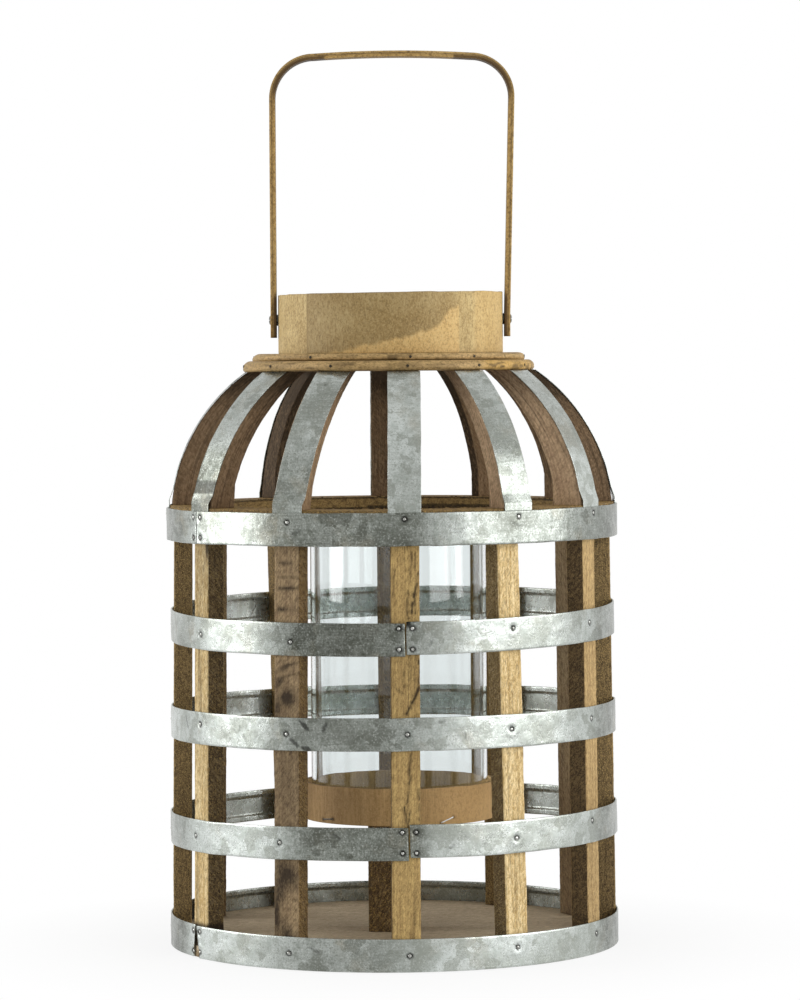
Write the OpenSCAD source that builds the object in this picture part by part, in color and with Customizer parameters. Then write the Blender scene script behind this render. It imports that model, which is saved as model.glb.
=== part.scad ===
// Candle lantern: a round cage of sawn wooden posts inside galvanised hoops, a dome of curved
// ribs under galvanised straps, two rim rings, a bentwood collar with a bail handle, and a glass
// chimney that stands in a shallow wooden cup on a pedestal.
// Millimetres, +Z up. The origin is the middle of the base where it meets the floor, and the
// front faces -Y. Angles about the middle run from the front towards +X.

/* [Cage] */
// Outer radius of the bottom hoop
cage_r = 158; // [135:1:190]
// How much further in the posts stand at the top than at the foot
cage_taper = 3; // [0:0.5:6]
// Height of the top of the shoulder ring
shoulder_z = 309.5; // [290:0.5:380]
// Thickness of the base disc
base_t = 8; // [6:0.5:14]
// Thickness of the shoulder ring
shoulder_t = 12; // [9:0.5:18]
// Width of the shoulder ring from its outer edge to its hole
shoulder_w = 34; // [26:1:44]

/* [Posts and ribs] */
// Width of a post along the cage
post_w = 19.5; // [15:0.5:24]
// Depth of a post towards the middle
post_d = 13; // [10:0.5:18]
// Width of a rib along the cage
rib_w = 21; // [16:0.5:24]
// Depth of a rib towards the middle
rib_d = 16.5; // [12:0.5:19]
// How much deeper a rib is at its foot, where its inner face runs straight down
rib_foot_extra = 3.5; // [1:0.5:6]

/* [Dome] */
// Height from the shoulder ring to the lower rim ring
dome_h = 93.1; // [70:0.1:105]
// Radius of the curve that the straps follow
dome_r = 127.3; // [110:0.1:150]
// How far the curve starts inside the bottom hoop's radius
dome_inset = 2.5; // [2:0.1:5]

/* [Hoops and straps] */
// Height of a hoop's strip
hoop_h = 22.4; // [18:0.2:26]
// Thickness of the galvanised sheet
sheet_t = 0.5; // [0.3:0.05:0.6]
// Height of the hem folded inside each edge of a hoop
hem_h = 4; // [2.5:0.5:6]
// Height of the middle of the lower hoop
lower_hoop_z = 85.8; // [60:0.1:110]
// Height of the middle of the middle hoop
middle_hoop_z = 158.6; // [136:0.1:182]
// Height of the middle of the upper hoop
upper_hoop_z = 227.2; // [206:0.1:250]
// How far the shoulder hoop's top edge lies below the shoulder ring's top
shoulder_hoop_drop = 1.4; // [1:0.1:6]
// Gap between the two ends of a hoop's strip
seam_gap = 1.8; // [0.8:0.1:3]
// Width of a strap
strap_w = 22.4; // [18:0.2:24]
// How far a strap's foot reaches below the shoulder ring's top
strap_foot_drop = 18; // [14:0.5:18.5]

/* [Rim and collar] */
// Outer radius of the lower rim ring
rim_lower_r = 102.5; // [96:0.5:112]
// Thickness of the lower rim ring
rim_lower_t = 7.1; // [5:0.1:12]
// Outer radius of the upper rim ring
rim_upper_r = 95.75; // [90:0.25:96]
// Thickness of the upper rim ring
rim_upper_t = 5.1; // [4:0.1:10]
// How far the two rim rings sit to the right of the middle
rim_shift = -1.5; // [-4:0.5:4]
// Outer radius of the collar
collar_r = 79; // [72:0.5:84]
// Height of the collar
collar_h = 41.8; // [32:0.1:60]
// Thickness of the collar's veneer
collar_t = 3; // [2:0.1:5]
// How far the rim rings reach inside the collar
rim_lip = 3; // [1:0.5:5]

/* [Handle] */
// Height of the handle's top above its pivots
handle_rise = 188.1; // [150:0.1:240]
// Outer width of the handle near its top
handle_top_w = 172; // [171:0.5:180]
// Thickness of the bent strip
handle_t = 4.2; // [3:0.1:6]
// Width of the bent strip
handle_w = 18; // [12:0.5:24]
// Outer radius of the bent corners
handle_corner_r = 31; // [20:0.5:45]
// Rise of the handle's top in its middle
handle_crown = 1.8; // [0.5:0.1:4]
// How far the handle's top leans to the right
handle_lean = 2.5; // [-4:0.5:4]
// Length of the legs below the pivots
handle_leg_end = 12.4; // [10:0.1:16]
// Height of the pivots below the collar's top
pivot_drop = 18.2; // [14:0.1:22]
// Radius of the pivot screws
pivot_r = 1.5; // [1:0.1:2.5]
// Thickness of the washers between the legs and the collar
washer_t = 0.8; // [0.8:0.1:2]

/* [Cup, pedestal and glass] */
// Height of the pedestal
pedestal_h = 80; // [50:1:110]
// Width of the square pedestal
pedestal_w = 34; // [24:1:50]
// Turn of the pedestal about its own middle
pedestal_turn = -6; // [-20:1:20]
// How far the pedestal stands to the right of the middle
pedestal_x = 0.2; // [-4:0.1:4]
// How far the cup stands to the right of the middle
cup_x = 4.2; // [-5:0.1:5]
// Height of the cup's hoop
cup_h = 26; // [18:0.5:40]
// Thickness of the cup's veneer
cup_t = 2.5; // [1.5:0.1:4]
// Thickness of the disc in the cup
cup_disc_t = 8; // [6:0.5:12]
// Height of the glass chimney
glass_h = 203; // [150:1:225]
// Thickness of the glass
glass_t = 2.6; // [2:0.1:4]

/* [Clearances] */
// Gap between nested pieces that are nailed together
fit = 0.3; // [0.15:0.05:0.4]
// Gap between faces that are pressed or glued together
joint_gap = 0.1; // [0.05:0.05:0.15]
// Gap all round a nail or screw in its hole
nail_gap = 0.05; // [0.02:0.01:0.1]
// Running gap round the pivot screws
pivot_gap = 0.08; // [0.03:0.01:0.1]
// Gap between the glass and the cup's hoop
cup_play = 3; // [1:0.5:5]
// Gap between the glass and the hole in the rim rings, when the glass is in the middle
neck_play = 11; // [9:0.5:16]

/* [Hidden] */
POSTS = ["post_01", "post_02", "post_03", "post_04", "post_05", "post_06",
    "post_07", "post_08", "post_09", "post_10", "post_11", "post_12"];
RIBS = ["rib_01", "rib_02", "rib_03", "rib_04", "rib_05", "rib_06",
    "rib_07", "rib_08", "rib_09", "rib_10", "rib_11", "rib_12"];
STRAPS = ["strap_01", "strap_02", "strap_03", "strap_04", "strap_05", "strap_06",
    "strap_07", "strap_08", "strap_09", "strap_10", "strap_11", "strap_12"];
HOOPS = ["bottom_hoop", "lower_hoop", "middle_hoop", "upper_hoop", "shoulder_hoop"];
$fn = 96;

// The cage is put together by hand. Each list below has one value a post or rib, from the front
// round by way of the right side, and says how far that piece is off an even spacing.
count = 12;
spacing = 360 / count;
first_angle = 2.5;
// Degrees round the cage
post_shift = [0.4, 0, -0.5, -0.5, -3, -4, -2, -2.5, -0.5, -0.5, -1.1, -0.5];
rib_shift = [0.6, 0.5, -1.7, -0.5, -1, -2.5, -0.9, 1.7, -0.5, 0.1, 0.5, 0.8];
// Degrees about the piece's own upright edge
post_twist = [0, 8, 1, 0, -1, 2, -2, 0, 1, 0, 0, -1];
rib_twist = [-2.5, 0, -2, 0, 1, 0, -1, 0, 1.5, 0, 4, 5];
// How far each rib leans sideways from its foot, in degrees
rib_lean = [0.6, -1.4, -1, 0, 0, 0, 0, 0, 0, 0, 6.5, 7];
// Millimetres that a rib is deeper than rib_d, and that it lies to one side of its strap's middle
rib_deeper = [0, -1, 3.5, 0, 0, 1, 0, 0, 0, 1.5, 0.5, -1];
rib_slip = [0, 0, 0, 0, 0, 0, 0, 0, 0, 0, 0, -1.5];
// Millimetres that a post's top leans along the cage
post_lean = [1, -4, 0, 2, 0, 0, 1, 9, -1, 0, 0, 1];
// How far each hoop is out of level, in degrees: its right side up, then its back up
hoop_tilt = [[0, 0], [0.95, -0.4], [0.35, -0.35], [0.65, 1.35], [0.2, 0]];
// Millimetres that each hoop's nails are off the middle of a post or strap, along and up
nail_across = [
    [2, -2, -1, 1, 0, -1, 2, -2, 1, -1, 0, 3],
    [0, -1, -5, -2, 1, 0, -2, 1, 2, 0, -4, -4],
    [1, -3, -4, 0, 2, 1, 0, -1, 0, 2, 2, 1],
    [0, 0, -5, 1, -1, 2, 1, 0, -2, 1, 3, 4],
    [0, -1, 0, 1, -1, 0, 2, 1, -1, 0, 0, 1]];
nail_up = [
    [0, 2, 3, 1, 0, -1, 1, 0, 2, 1, 0, 0],
    [0, -1, 4, 1, 0, 2, -1, 1, 0, -2, 0, 0],
    [0, 1, 3, 2, -1, 0, 0, 1, 0, 1, 3, 0],
    [0, 4, 2, 0, 1, -1, 2, 0, 1, 0, -1, -2],
    [7, 7, 7, 6, 7, 8, 7, 6, 7, 7, 7, 5]];
// The post that each hoop's seam lies on, and the seam's place along the cage from its middle
seam_post = [10, 0, 6, 0, 10];
seam_across = [-3, 2, 0, 0, 3];
seam_nail_across = 4.6;
seam_nail_up = 7;

// Nails, brads, screws and staples
nail_r = 0.7;
nail_head_r = 1.35;
nail_head_t = 0.6;
post_nail_l = 9;
shoulder_nail_l = 8;
strap_nail_l = 6;
strap_nail_below_rim = 9;
brad_r = 0.6;
brad_l = 6;
rim_lower_brads = [for (i = [0:count - 1]) 7.3 + i * spacing];
rim_upper_brads = [9, 38, 84, 129, 174, 219, 264, 326];
long_nail_r = 0.9;
long_nail_head_r = 1.8;
long_nail_head_t = 0.8;
long_nail_bite = 16;
rib_nail_bite = 8;
rib_nail_slant = 12;
rim_nail_bite = 5.5;
rim_nail_across = -5.5;
screw_r = 2;
screw_head_r = 3.2;
screw_head_h = 2;
screw_bite = 20;
screw_spacing = 16;
staple_wire = 1;
staple_crown = 11;
staple_leg = 6;
staple_count = 5;
staple_first = 29;
staple_up = 4;
pivot_head_r = 3.15;
pivot_head_t = 1.2;
pivot_slot_w = 0.8;
pivot_slot_depth = 0.5;
washer_r = 4;
nut_across = 5.5;
nut_t = 2;

// Derived sizes of the cage
hoop_wall = 2 * sheet_t + joint_gap;
hoop_step = cage_taper / (shoulder_z - shoulder_t - base_t);
hoop_mid = [hoop_h / 2, lower_hoop_z, middle_hoop_z, upper_hoop_z,
    shoulder_z - shoulder_hoop_drop - hoop_h / 2];
post_z = [base_t, shoulder_z - shoulder_t];
post_len = post_z[1] - post_z[0];
base_r = cage_r - hoop_wall - fit;
shoulder_hoop_r = cage_r + 0.6;
tab_out = sqrt(pow(shoulder_hoop_r - hoop_wall - fit, 2) - pow(strap_w / 2, 2));
ring_r = tab_out - sheet_t - joint_gap;
ring_hole_r = ring_r - shoulder_w;

// Derived sizes of the dome: the strap's curve runs from dome_foot to dome_top, each given as
// [distance from the middle, height], and dome_mid is the curve's own centre
rim_z = shoulder_z + dome_h;
dome_foot = [cage_r - dome_inset, shoulder_z];
dome_top = [rim_lower_r - 1.25, rim_z];
dome_chord = dome_top - dome_foot;
dome_mid = (dome_foot + dome_top) / 2
    + sqrt(pow(dome_r, 2) - pow(norm(dome_chord) / 2, 2))
    * [-dome_chord[1], dome_chord[0]] / norm(dome_chord);
rib_r = dome_r - sheet_t - 2 * joint_gap;
strap_kink_rise = 10.5;
strap_kink_z = shoulder_z + strap_kink_rise;
// How far a leaning rib or strap is carried past its level cuts
level_cut = 6;
// The slant leans out far enough to meet the upright foot this high above the shoulder ring
foot_clear = 3.3;
strap_slope = max(0.38,
    (tab_out - dome_at(dome_r, strap_kink_z)) / (strap_kink_rise - foot_clear));
slant_len = 14;
crease = 0.12;

// Derived sizes of the rim, collar, handle, cup and glass
rim_hole_r = collar_r - collar_t - rim_lip;
upper_z = rim_z + rim_lower_t;
collar_z = upper_z + rim_upper_t;
pivot_z = collar_z + collar_h - pivot_drop;
washer_x = collar_r + joint_gap;
leg_x = washer_x + washer_t + joint_gap;
// A leg runs straight past its washer before it leans towards the handle's top
leg_straight = washer_r + 0.5;
glass_r = rim_hole_r - neck_play;
cup_r = glass_r + cup_play + cup_t;
cup_z = base_t + pedestal_h;
glass_z = cup_z + cup_disc_t + joint_gap;

wood_light = "#B8935A";
wood_mid = "#8A6A42";
wood_dark = "#5E4632";
zinc = "#A3AAA6";
steel = "#5C5F5E";

function post_angle(i) = first_angle + i * spacing + post_shift[i];
function rib_angle(i) = first_angle + i * spacing + rib_shift[i];
function degrees_of(across, r) = across / r * 180 / PI;
// A hoop that is out of level needs a little more room round the posts
function hoop_r(h) = h == 4 ? shoulder_hoop_r
    : cage_r - hoop_step * (hoop_mid[h] - hoop_h / 2) + hoop_h / 2 * sin(norm(hoop_tilt[h]));
// How far a post's outer face stands out at its foot and at its top, so that its corners just
// clear the hoops
function post_face(i) = face_inside(base_r, 0, post_twist[i]);
function post_top_face(i) = face_inside(base_r - cage_taper, abs(post_lean[i]), post_twist[i]);
function face_inside(r, across, twist) =
    sqrt(pow(r, 2) - pow(across + post_w / 2 * cos(twist), 2)) - post_w / 2 * sin(abs(twist));
function lean_at(i, z) = post_lean[i] * (z - post_z[0]) / post_len;
// Distance from the middle of a curve about dome_mid, at a height
function dome_at(r, z) = dome_mid[0] + sqrt(pow(r, 2) - pow(z - dome_mid[1], 2));
// Angle above level of the outward direction of the dome's curve, at a height
function dome_slope(z) = asin((z - dome_mid[1]) / dome_r);

// The nails of hoop h at post i, each as [angle, height above the hoop's middle line]
function hoop_nail_list(h, i) =
    i == seam_post[h]
    ? [for (side = [-1, 1], level = [-1, 1])
        [post_angle(i) + degrees_of(seam_at(h) + side * seam_nail_across, hoop_r(h)),
        level * seam_nail_up]]
    : h == 4
    ? [[rib_angle(i) + degrees_of(nail_across[h][i], hoop_r(h)), nail_up[h][i]]]
    : [[post_angle(i) + degrees_of(lean_at(i, hoop_mid[h]) + nail_across[h][i], hoop_r(h)),
        nail_up[h][i]]];
function seam_at(h) = seam_across[h] + lean_at(seam_post[h], hoop_mid[h]);

// ---- Placing ----

module at_angle(a, r, z) {
    rotate([0, 0, a]) translate([0, -r, z]) children();
}

// A rib's own frame: the origin is the strap's foot, +Y points inwards
module at_rib(i) {
    at_angle(rib_angle(i), dome_foot[0], 0) rotate([0, 0, rib_twist[i]]) children();
}

// The same frame, leaning sideways with the rib about its foot on the shoulder ring
module at_leaning_rib(i) {
    at_rib(i) translate([0, 0, shoulder_z]) rotate([0, rib_lean[i], 0])
        translate([0, 0, -shoulder_z]) children();
}

// At each nail of hoop h on post i, with +Z pointing outwards from the hoop
module at_hoop_nails(h, i) {
    at_hoop(h)
        for (n = hoop_nail_list(h, i))
            at_angle(n[0], hoop_r(h) + nail_gap, n[1]) rotate([90, 0, 0]) children();
}

// A hoop's own frame: the origin is its middle, and it is as far out of level as the hoop
module at_hoop(h) {
    translate([0, 0, hoop_mid[h]]) rotate([hoop_tilt[h][1], -hoop_tilt[h][0], 0]) children();
}

// At a strap's nail, with +Z pointing outwards from the strap
module at_strap_nail(i) {
    z = rim_z - strap_nail_below_rim;
    at_leaning_rib(i)
        translate([0, dome_foot[0] - dome_at(dome_r + nail_gap, z), z])
            rotate([90 - dome_slope(z), 0, 0]) children();
}

// Upright nails: +Z points to the head
module at_post_foot_nail(i) {
    at_angle(post_angle(i), post_face(i) - post_d * 0.7, 0) rotate([180, 0, 0]) children();
}

module at_post_top_nail(i) {
    at_angle(post_angle(i) + degrees_of(post_lean[i], base_r),
        post_top_face(i) - post_d * 0.6, shoulder_z) children();
}

// Driven up and outwards through the shoulder ring from just inside the post
module at_rib_foot_nail(i) {
    at_angle(rib_angle(i), base_r - cage_taper - post_d - long_nail_head_r - 1, post_z[1] + 0.4)
        rotate([180 + rib_nail_slant, 0, 0]) children();
}

module at_rib_top_nail(i) {
    aside = (rim_z - shoulder_z) * tan(rib_lean[i]);
    at_rib(i) translate([rim_nail_across + aside, dome_foot[0] - dome_top[0] + 6.2, upper_z])
        children();
}

// At a rim ring's brads, with +Z pointing outwards
module at_rim_brads(angles, r, z) {
    translate([rim_shift, 0, 0])
        for (a = angles) at_angle(a, r, z) rotate([90, 0, 0]) children();
}

module at_staples() {
    translate([cup_x, 0, 0])
        for (k = [0:staple_count - 1])
            at_angle(staple_first + k * 360 / staple_count, cup_r + joint_gap / 2,
                cup_z + staple_up) rotate([90, 0, 0]) children();
}

module at_screws(z) {
    for (side = [-1, 1]) translate([pedestal_x + side * screw_spacing / 2, 0, z]) children();
}

// ---- Fasteners: each head sits on the plane z = 0 and its shank runs down ----

module nail(r, len, head_r, head_t) {
    translate([0, 0, -len]) cylinder(r = r, h = len + head_t / 2, $fn = 24);
    cylinder(r = head_r, h = head_t, $fn = 24);
}

module nail_hole(r, len) {
    translate([0, 0, -len - nail_gap]) cylinder(r = r + nail_gap, h = len + 4, $fn = 24);
}

// A long nail's head is let in flush, so here it lies below the plane z = 0
module sunk_nail(len) {
    translate([0, 0, -long_nail_head_t])
        nail(long_nail_r, len - long_nail_head_t, long_nail_head_r, long_nail_head_t);
}

module sunk_nail_hole(len) {
    nail_hole(long_nail_r, len);
    translate([0, 0, -long_nail_head_t - nail_gap])
        cylinder(r = long_nail_head_r + nail_gap, h = long_nail_head_t + 1, $fn = 24);
}

module screw(len) {
    translate([0, 0, -len]) cylinder(r = screw_r, h = len, $fn = 32);
    translate([0, 0, -screw_head_h])
        cylinder(r1 = screw_r, r2 = screw_head_r, h = screw_head_h, $fn = 32);
}

module screw_hole(len) {
    translate([0, 0, -len - nail_gap])
        cylinder(r = screw_r + nail_gap, h = len + 1, $fn = 32);
    translate([0, 0, -screw_head_h])
        cylinder(r1 = screw_r + nail_gap, r2 = screw_head_r + nail_gap, h = screw_head_h, $fn = 32);
    cylinder(r = screw_head_r + nail_gap, h = 1, $fn = 32);
}

module staple(wire) {
    translate([-staple_crown / 2, -wire / 2, 0]) cube([staple_crown, wire, wire]);
    for (side = [-1, 1])
        translate([side * (staple_crown - wire) / 2 - wire / 2, -wire / 2, -staple_leg])
            cube([wire, wire, staple_leg + wire / 2]);
}

module staple_hole() {
    w = staple_wire + 2 * nail_gap;
    for (side = [-1, 1])
        translate([side * (staple_crown - staple_wire) / 2 - w / 2, -w / 2, -staple_leg - nail_gap])
            cube([w, w, staple_leg + 2]);
}

// ---- Common shapes ----

module ring(outer, inner, h) {
    difference() {
        cylinder(r = outer, h = h, $fn = 180);
        translate([0, 0, -1]) cylinder(r = inner, h = h + 2, $fn = 180);
    }
}

// A flat ring whose outer edge is rounded over
module round_edged_ring(outer, inner, t) {
    rotate_extrude($fn = 180) {
        translate([inner, 0]) square([outer - inner - t / 2, t]);
        translate([outer - t / 2, t / 2]) circle(d = t, $fn = 48);
    }
}

// Everything between two heights
module slab(z0, z1) {
    reach = 2 * cage_r;
    translate([-reach, -reach, z0]) cube([2 * reach, 2 * reach, z1 - z0]);
}

// ---- Base, posts and hoops ----

module base_disc() color(wood_mid)
    difference() {
        cylinder(r = base_r, h = base_t, $fn = 180);
        for (i = [0:count - 1]) {
            at_post_foot_nail(i) sunk_nail_hole(base_t + long_nail_bite);
            at_hoop_nails(0, i) nail_hole(nail_r, post_nail_l);
        }
        rotate([180, 0, 0]) at_screws(0) screw_hole(base_t + screw_bite);
    }

module post(i) color(wood_light)
    difference() {
        intersection() {
            at_angle(post_angle(i), post_face(i), post_z[0])
                rotate([-atan((post_face(i) - post_top_face(i)) / post_len),
                    atan(post_lean[i] / post_len), 0])
                    rotate([0, 0, post_twist[i]])
                        translate([-post_w / 2, 0, -5]) cube([post_w, post_d, post_len + 10]);
            slab(post_z[0], post_z[1]);
        }
        for (h = [0:4]) at_hoop_nails(h, i) nail_hole(nail_r, post_nail_l);
        at_post_foot_nail(i) sunk_nail_hole(base_t + long_nail_bite);
        at_post_top_nail(i) sunk_nail_hole(shoulder_t + long_nail_bite);
    }

// A hoop's strip, cut across: the sheet with a hem folded inside each edge
module hoop_section(r) {
    translate([r - sheet_t, 0]) square([sheet_t, hoop_h]);
    translate([r - hoop_wall, 0]) square([hoop_wall, sheet_t]);
    translate([r - hoop_wall, 0]) square([sheet_t, hem_h]);
    translate([r - hoop_wall, hoop_h - sheet_t]) square([hoop_wall, sheet_t]);
    translate([r - hoop_wall, hoop_h - hem_h]) square([sheet_t, hem_h]);
}

module hoop(h) color(zinc)
    difference() {
        at_hoop(h)
            translate([0, 0, -hoop_h / 2])
                difference() {
                    rotate_extrude($fn = 180) hoop_section(hoop_r(h));
                    rotate([0, 0, post_angle(seam_post[h]) + degrees_of(seam_at(h), hoop_r(h))])
                        translate([-seam_gap / 2, -cage_r - 5, -1])
                            cube([seam_gap, 20, hoop_h + 2]);
                }
        for (i = [0:count - 1]) at_hoop_nails(h, i) nail_hole(nail_r, post_nail_l);
    }

module shoulder_ring() color(wood_mid)
    difference() {
        translate([0, 0, shoulder_z - shoulder_t]) ring(ring_r, ring_hole_r, shoulder_t);
        for (i = [0:count - 1]) {
            at_hoop_nails(4, i) nail_hole(nail_r, shoulder_nail_l);
            at_post_top_nail(i) sunk_nail_hole(shoulder_t + long_nail_bite);
            at_rib_foot_nail(i) sunk_nail_hole(shoulder_t + rib_nail_bite);
        }
    }

// ---- Dome ----

// A cylinder across the rib, about the dome's curve centre moved inwards by a distance
module dome_cylinder(r, inwards, w) {
    translate([-w / 2, dome_foot[0] - dome_mid[0] + inwards, dome_mid[1]])
        rotate([0, 90, 0]) cylinder(r = r, h = w, $fn = 180);
}

// The foot of a rib whose depth is d: its inner face runs straight down from where the curve has
// moved inwards by rib_foot_extra
module rib_foot(d) {
    rise = sqrt(pow(rib_r, 2) - pow(dome_foot[0] - rib_foot_extra - dome_mid[0], 2));
    translate([-rib_w, -5, shoulder_z - level_cut])
        cube([2 * rib_w, d + rib_foot_extra + 5, dome_mid[1] + rise + 1 - shoulder_z + level_cut]);
}

// Everything between two heights, for the level cuts of a rib and its strap
module between(low, high) {
    translate([-cage_r, -cage_r, low]) cube([2 * cage_r, 2 * cage_r, high - low]);
}

// A rib is cut level at its foot and its top, whichever way it leans
module rib(i) color(wood_dark)
    difference() {
        intersection() {
            at_leaning_rib(i) translate([rib_slip[i], 0, 0]) intersection() {
                dome_cylinder(rib_r, 0, rib_w);
                union() {
                    difference() {
                        translate([-rib_w, -5, shoulder_z - level_cut])
                            cube([2 * rib_w, 100, dome_h + 2 * level_cut]);
                        dome_cylinder(rib_r, rib_d + rib_deeper[i], 3 * rib_w);
                    }
                    rib_foot(rib_d + rib_deeper[i]);
                }
            }
            between(shoulder_z, shoulder_z + dome_h);
        }
        at_rib_foot_nail(i) sunk_nail_hole(shoulder_t + rib_nail_bite);
        at_rib_top_nail(i) sunk_nail_hole(rim_lower_t + rim_nail_bite);
        at_strap_nail(i) nail_hole(nail_r, strap_nail_l);
    }

// A strap's curve, a slice of a tube about the dome's curve centre
module strap_curve() {
    intersection() {
        difference() {
            dome_cylinder(dome_r, 0, strap_w);
            dome_cylinder(dome_r - sheet_t, 0, strap_w + 2);
        }
        translate([-strap_w, -5, strap_kink_z])
            cube([2 * strap_w, 100, rim_z - joint_gap - strap_kink_z + level_cut]);
    }
}

// The part of a strap that slants outwards and down from its curve, over the shoulder hoop's edge
module strap_slant() {
    rotate([90, 0, 90]) translate([0, 0, -strap_w / 2]) linear_extrude(strap_w)
        polygon([kink_at(1), kink_at(-slant_len), kink_at(-slant_len) + [sheet_t, 0],
            kink_at(1) + [sheet_t, 0]]);
}

// The outer face of the slant in the rib's frame, a distance up or down from the kink
function kink_at(up) = [dome_foot[0] - dome_at(dome_r, strap_kink_z) + up * strap_slope,
    strap_kink_z + up];

// Everything on the inner side of the slant's outer face, less a hair for the rounded crease
module inside_slant() {
    reach = 3 * strap_w;
    rotate([90, 0, 90]) translate([crease, 0, -strap_w]) linear_extrude(2 * strap_w)
        polygon([kink_at(2), kink_at(-reach), kink_at(-reach) + [reach, 0], kink_at(2) + [reach, 0]]);
}

// Bent from one sheet: the slant and the upright foot meet at a crease, which runs askew where
// the rib is twisted
module strap(i) color(zinc)
    difference() {
        union() {
            intersection() {
                at_leaning_rib(i) strap_curve();
                between(shoulder_z, rim_z - joint_gap);
            }
            intersection() {
                at_leaning_rib(i) strap_slant();
                rotate([0, 0, rib_angle(i)])
                    translate([-strap_w, -tab_out + crease, shoulder_z - 10])
                    cube([2 * strap_w, 60, 60]);
            }
            intersection() {
                rotate([0, 0, rib_angle(i)])
                    translate([-strap_w / 2, -tab_out, shoulder_z - strap_foot_drop])
                        cube([strap_w, sheet_t, strap_foot_drop + 12]);
                at_leaning_rib(i) inside_slant();
            }
        }
        at_hoop_nails(4, i) nail_hole(nail_r, shoulder_nail_l);
        at_strap_nail(i) nail_hole(nail_r, strap_nail_l);
    }

// ---- Rim, collar and handle ----

module rim_ring_lower() color(wood_light)
    difference() {
        translate([rim_shift, 0, rim_z])
            round_edged_ring(rim_lower_r, rim_hole_r, rim_lower_t);
        at_rim_brads(rim_lower_brads, rim_lower_r, rim_z + rim_lower_t / 2)
            nail_hole(brad_r, brad_l);
        for (i = [0:count - 1]) at_rib_top_nail(i) sunk_nail_hole(rim_lower_t + rim_nail_bite);
    }

module rim_ring_upper() color(wood_light)
    difference() {
        translate([rim_shift, 0, upper_z])
            round_edged_ring(rim_upper_r, rim_hole_r, rim_upper_t);
        at_rim_brads(rim_upper_brads, rim_upper_r, upper_z + rim_upper_t / 2)
            nail_hole(brad_r, brad_l);
    }

module collar() color(wood_light)
    difference() {
        translate([0, 0, collar_z]) ring(collar_r, collar_r - collar_t, collar_h);
        for (side = [-1, 1])
            translate([side * collar_r, 0, pivot_z]) rotate([0, 90, 0])
                cylinder(r = pivot_r + pivot_gap, h = 20, center = true, $fn = 32);
    }

// Half of the handle's middle line, from a leg's foot to the middle of its top, as
// [distance from the middle, height above the pivots]
function handle_half() =
    let(bend_r = handle_corner_r - handle_t / 2,
        foot_x = leg_x + handle_t / 2,
        side_x = handle_top_w / 2 - handle_t / 2,
        shoulder = handle_rise - handle_crown - handle_t / 2,
        steps = 12)
    concat(
        [[foot_x, -handle_leg_end], [foot_x, leg_straight]],
        [for (k = [0:steps]) let(a = 90 * k / steps)
            [side_x - bend_r * (1 - cos(a)), shoulder - bend_r * (1 - sin(a))]],
        [for (k = [1:steps]) let(s = 1 - k / steps)
            [(side_x - bend_r) * s, shoulder + handle_crown * (1 - s * s)]]);

// The whole middle line, leaning by handle_lean at its top
function handle_line() =
    let(half = handle_half(), last = len(half) - 1)
    [for (k = [0:2 * last])
        let(p = half[k <= last ? k : 2 * last - k], side = k <= last ? -1 : 1)
        [side * p[0] + handle_lean * max(0, p[1]) / handle_rise, p[1]]];

function unit(v) = v / norm(v);

// One edge of a strip of a given half thickness along a line of points
function strip_edge(line, half_t) =
    let(last = len(line) - 1)
    [for (k = [0:last])
        let(before = k == 0 ? undef : unit(line[k] - line[k - 1]),
            after = k == last ? undef : unit(line[k + 1] - line[k]),
            dir = k == 0 ? after : k == last ? before : unit(before + after),
            widen = k == 0 || k == last ? 1 : 1 / (dir * after))
        line[k] + half_t * widen * [-dir[1], dir[0]]];

function reversed(list) = [for (k = [len(list) - 1:-1:0]) list[k]];

module handle() color(wood_light)
    difference() {
        translate([0, handle_w / 2, pivot_z]) rotate([90, 0, 0])
            linear_extrude(handle_w)
                polygon(concat(strip_edge(handle_line(), handle_t / 2),
                    reversed(strip_edge(handle_line(), -handle_t / 2))));
        for (side = [-1, 1])
            translate([side * leg_x, 0, pivot_z]) rotate([0, 90, 0])
                cylinder(r = pivot_r + pivot_gap, h = 4 * handle_t, center = true, $fn = 32);
    }

// At each pivot, with +Z pointing outwards and z = 0 on the leg's outer face
module at_pivots() {
    for (side = [-1, 1])
        translate([side * (leg_x + handle_t + joint_gap), 0, pivot_z])
            rotate([0, 90 * side, 0]) children();
}

module pivot_screws() color(steel)
    at_pivots() difference() {
        union() {
            cylinder(r = pivot_head_r, h = pivot_head_t, $fn = 48);
            shank = leg_x + handle_t + joint_gap - (collar_r - collar_t - nut_t - joint_gap);
            translate([0, 0, -shank]) cylinder(r = pivot_r, h = shank + pivot_head_t / 2, $fn = 32);
        }
        translate([-pivot_slot_w / 2, -pivot_head_r, pivot_head_t - pivot_slot_depth])
            cube([pivot_slot_w, 2 * pivot_head_r, 1]);
    }

module pivot_washers() color(steel)
    for (side = [-1, 1])
        translate([side * (washer_x + washer_t / 2), 0, pivot_z]) rotate([0, 90, 0])
            difference() {
                cylinder(r = washer_r, h = washer_t, center = true, $fn = 48);
                cylinder(r = pivot_r + pivot_gap, h = 2 * washer_t, center = true, $fn = 32);
            }

module pivot_nuts() color(steel)
    for (side = [-1, 1])
        translate([side * (collar_r - collar_t - nut_t / 2 - joint_gap - 0.1), 0, pivot_z])
            rotate([0, 90, 0])
                difference() {
                    cylinder(d = nut_across / cos(30), h = nut_t, center = true, $fn = 6);
                    cylinder(r = pivot_r + nail_gap, h = 2 * nut_t, center = true, $fn = 32);
                }

// ---- Cup, pedestal and glass ----

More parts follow.
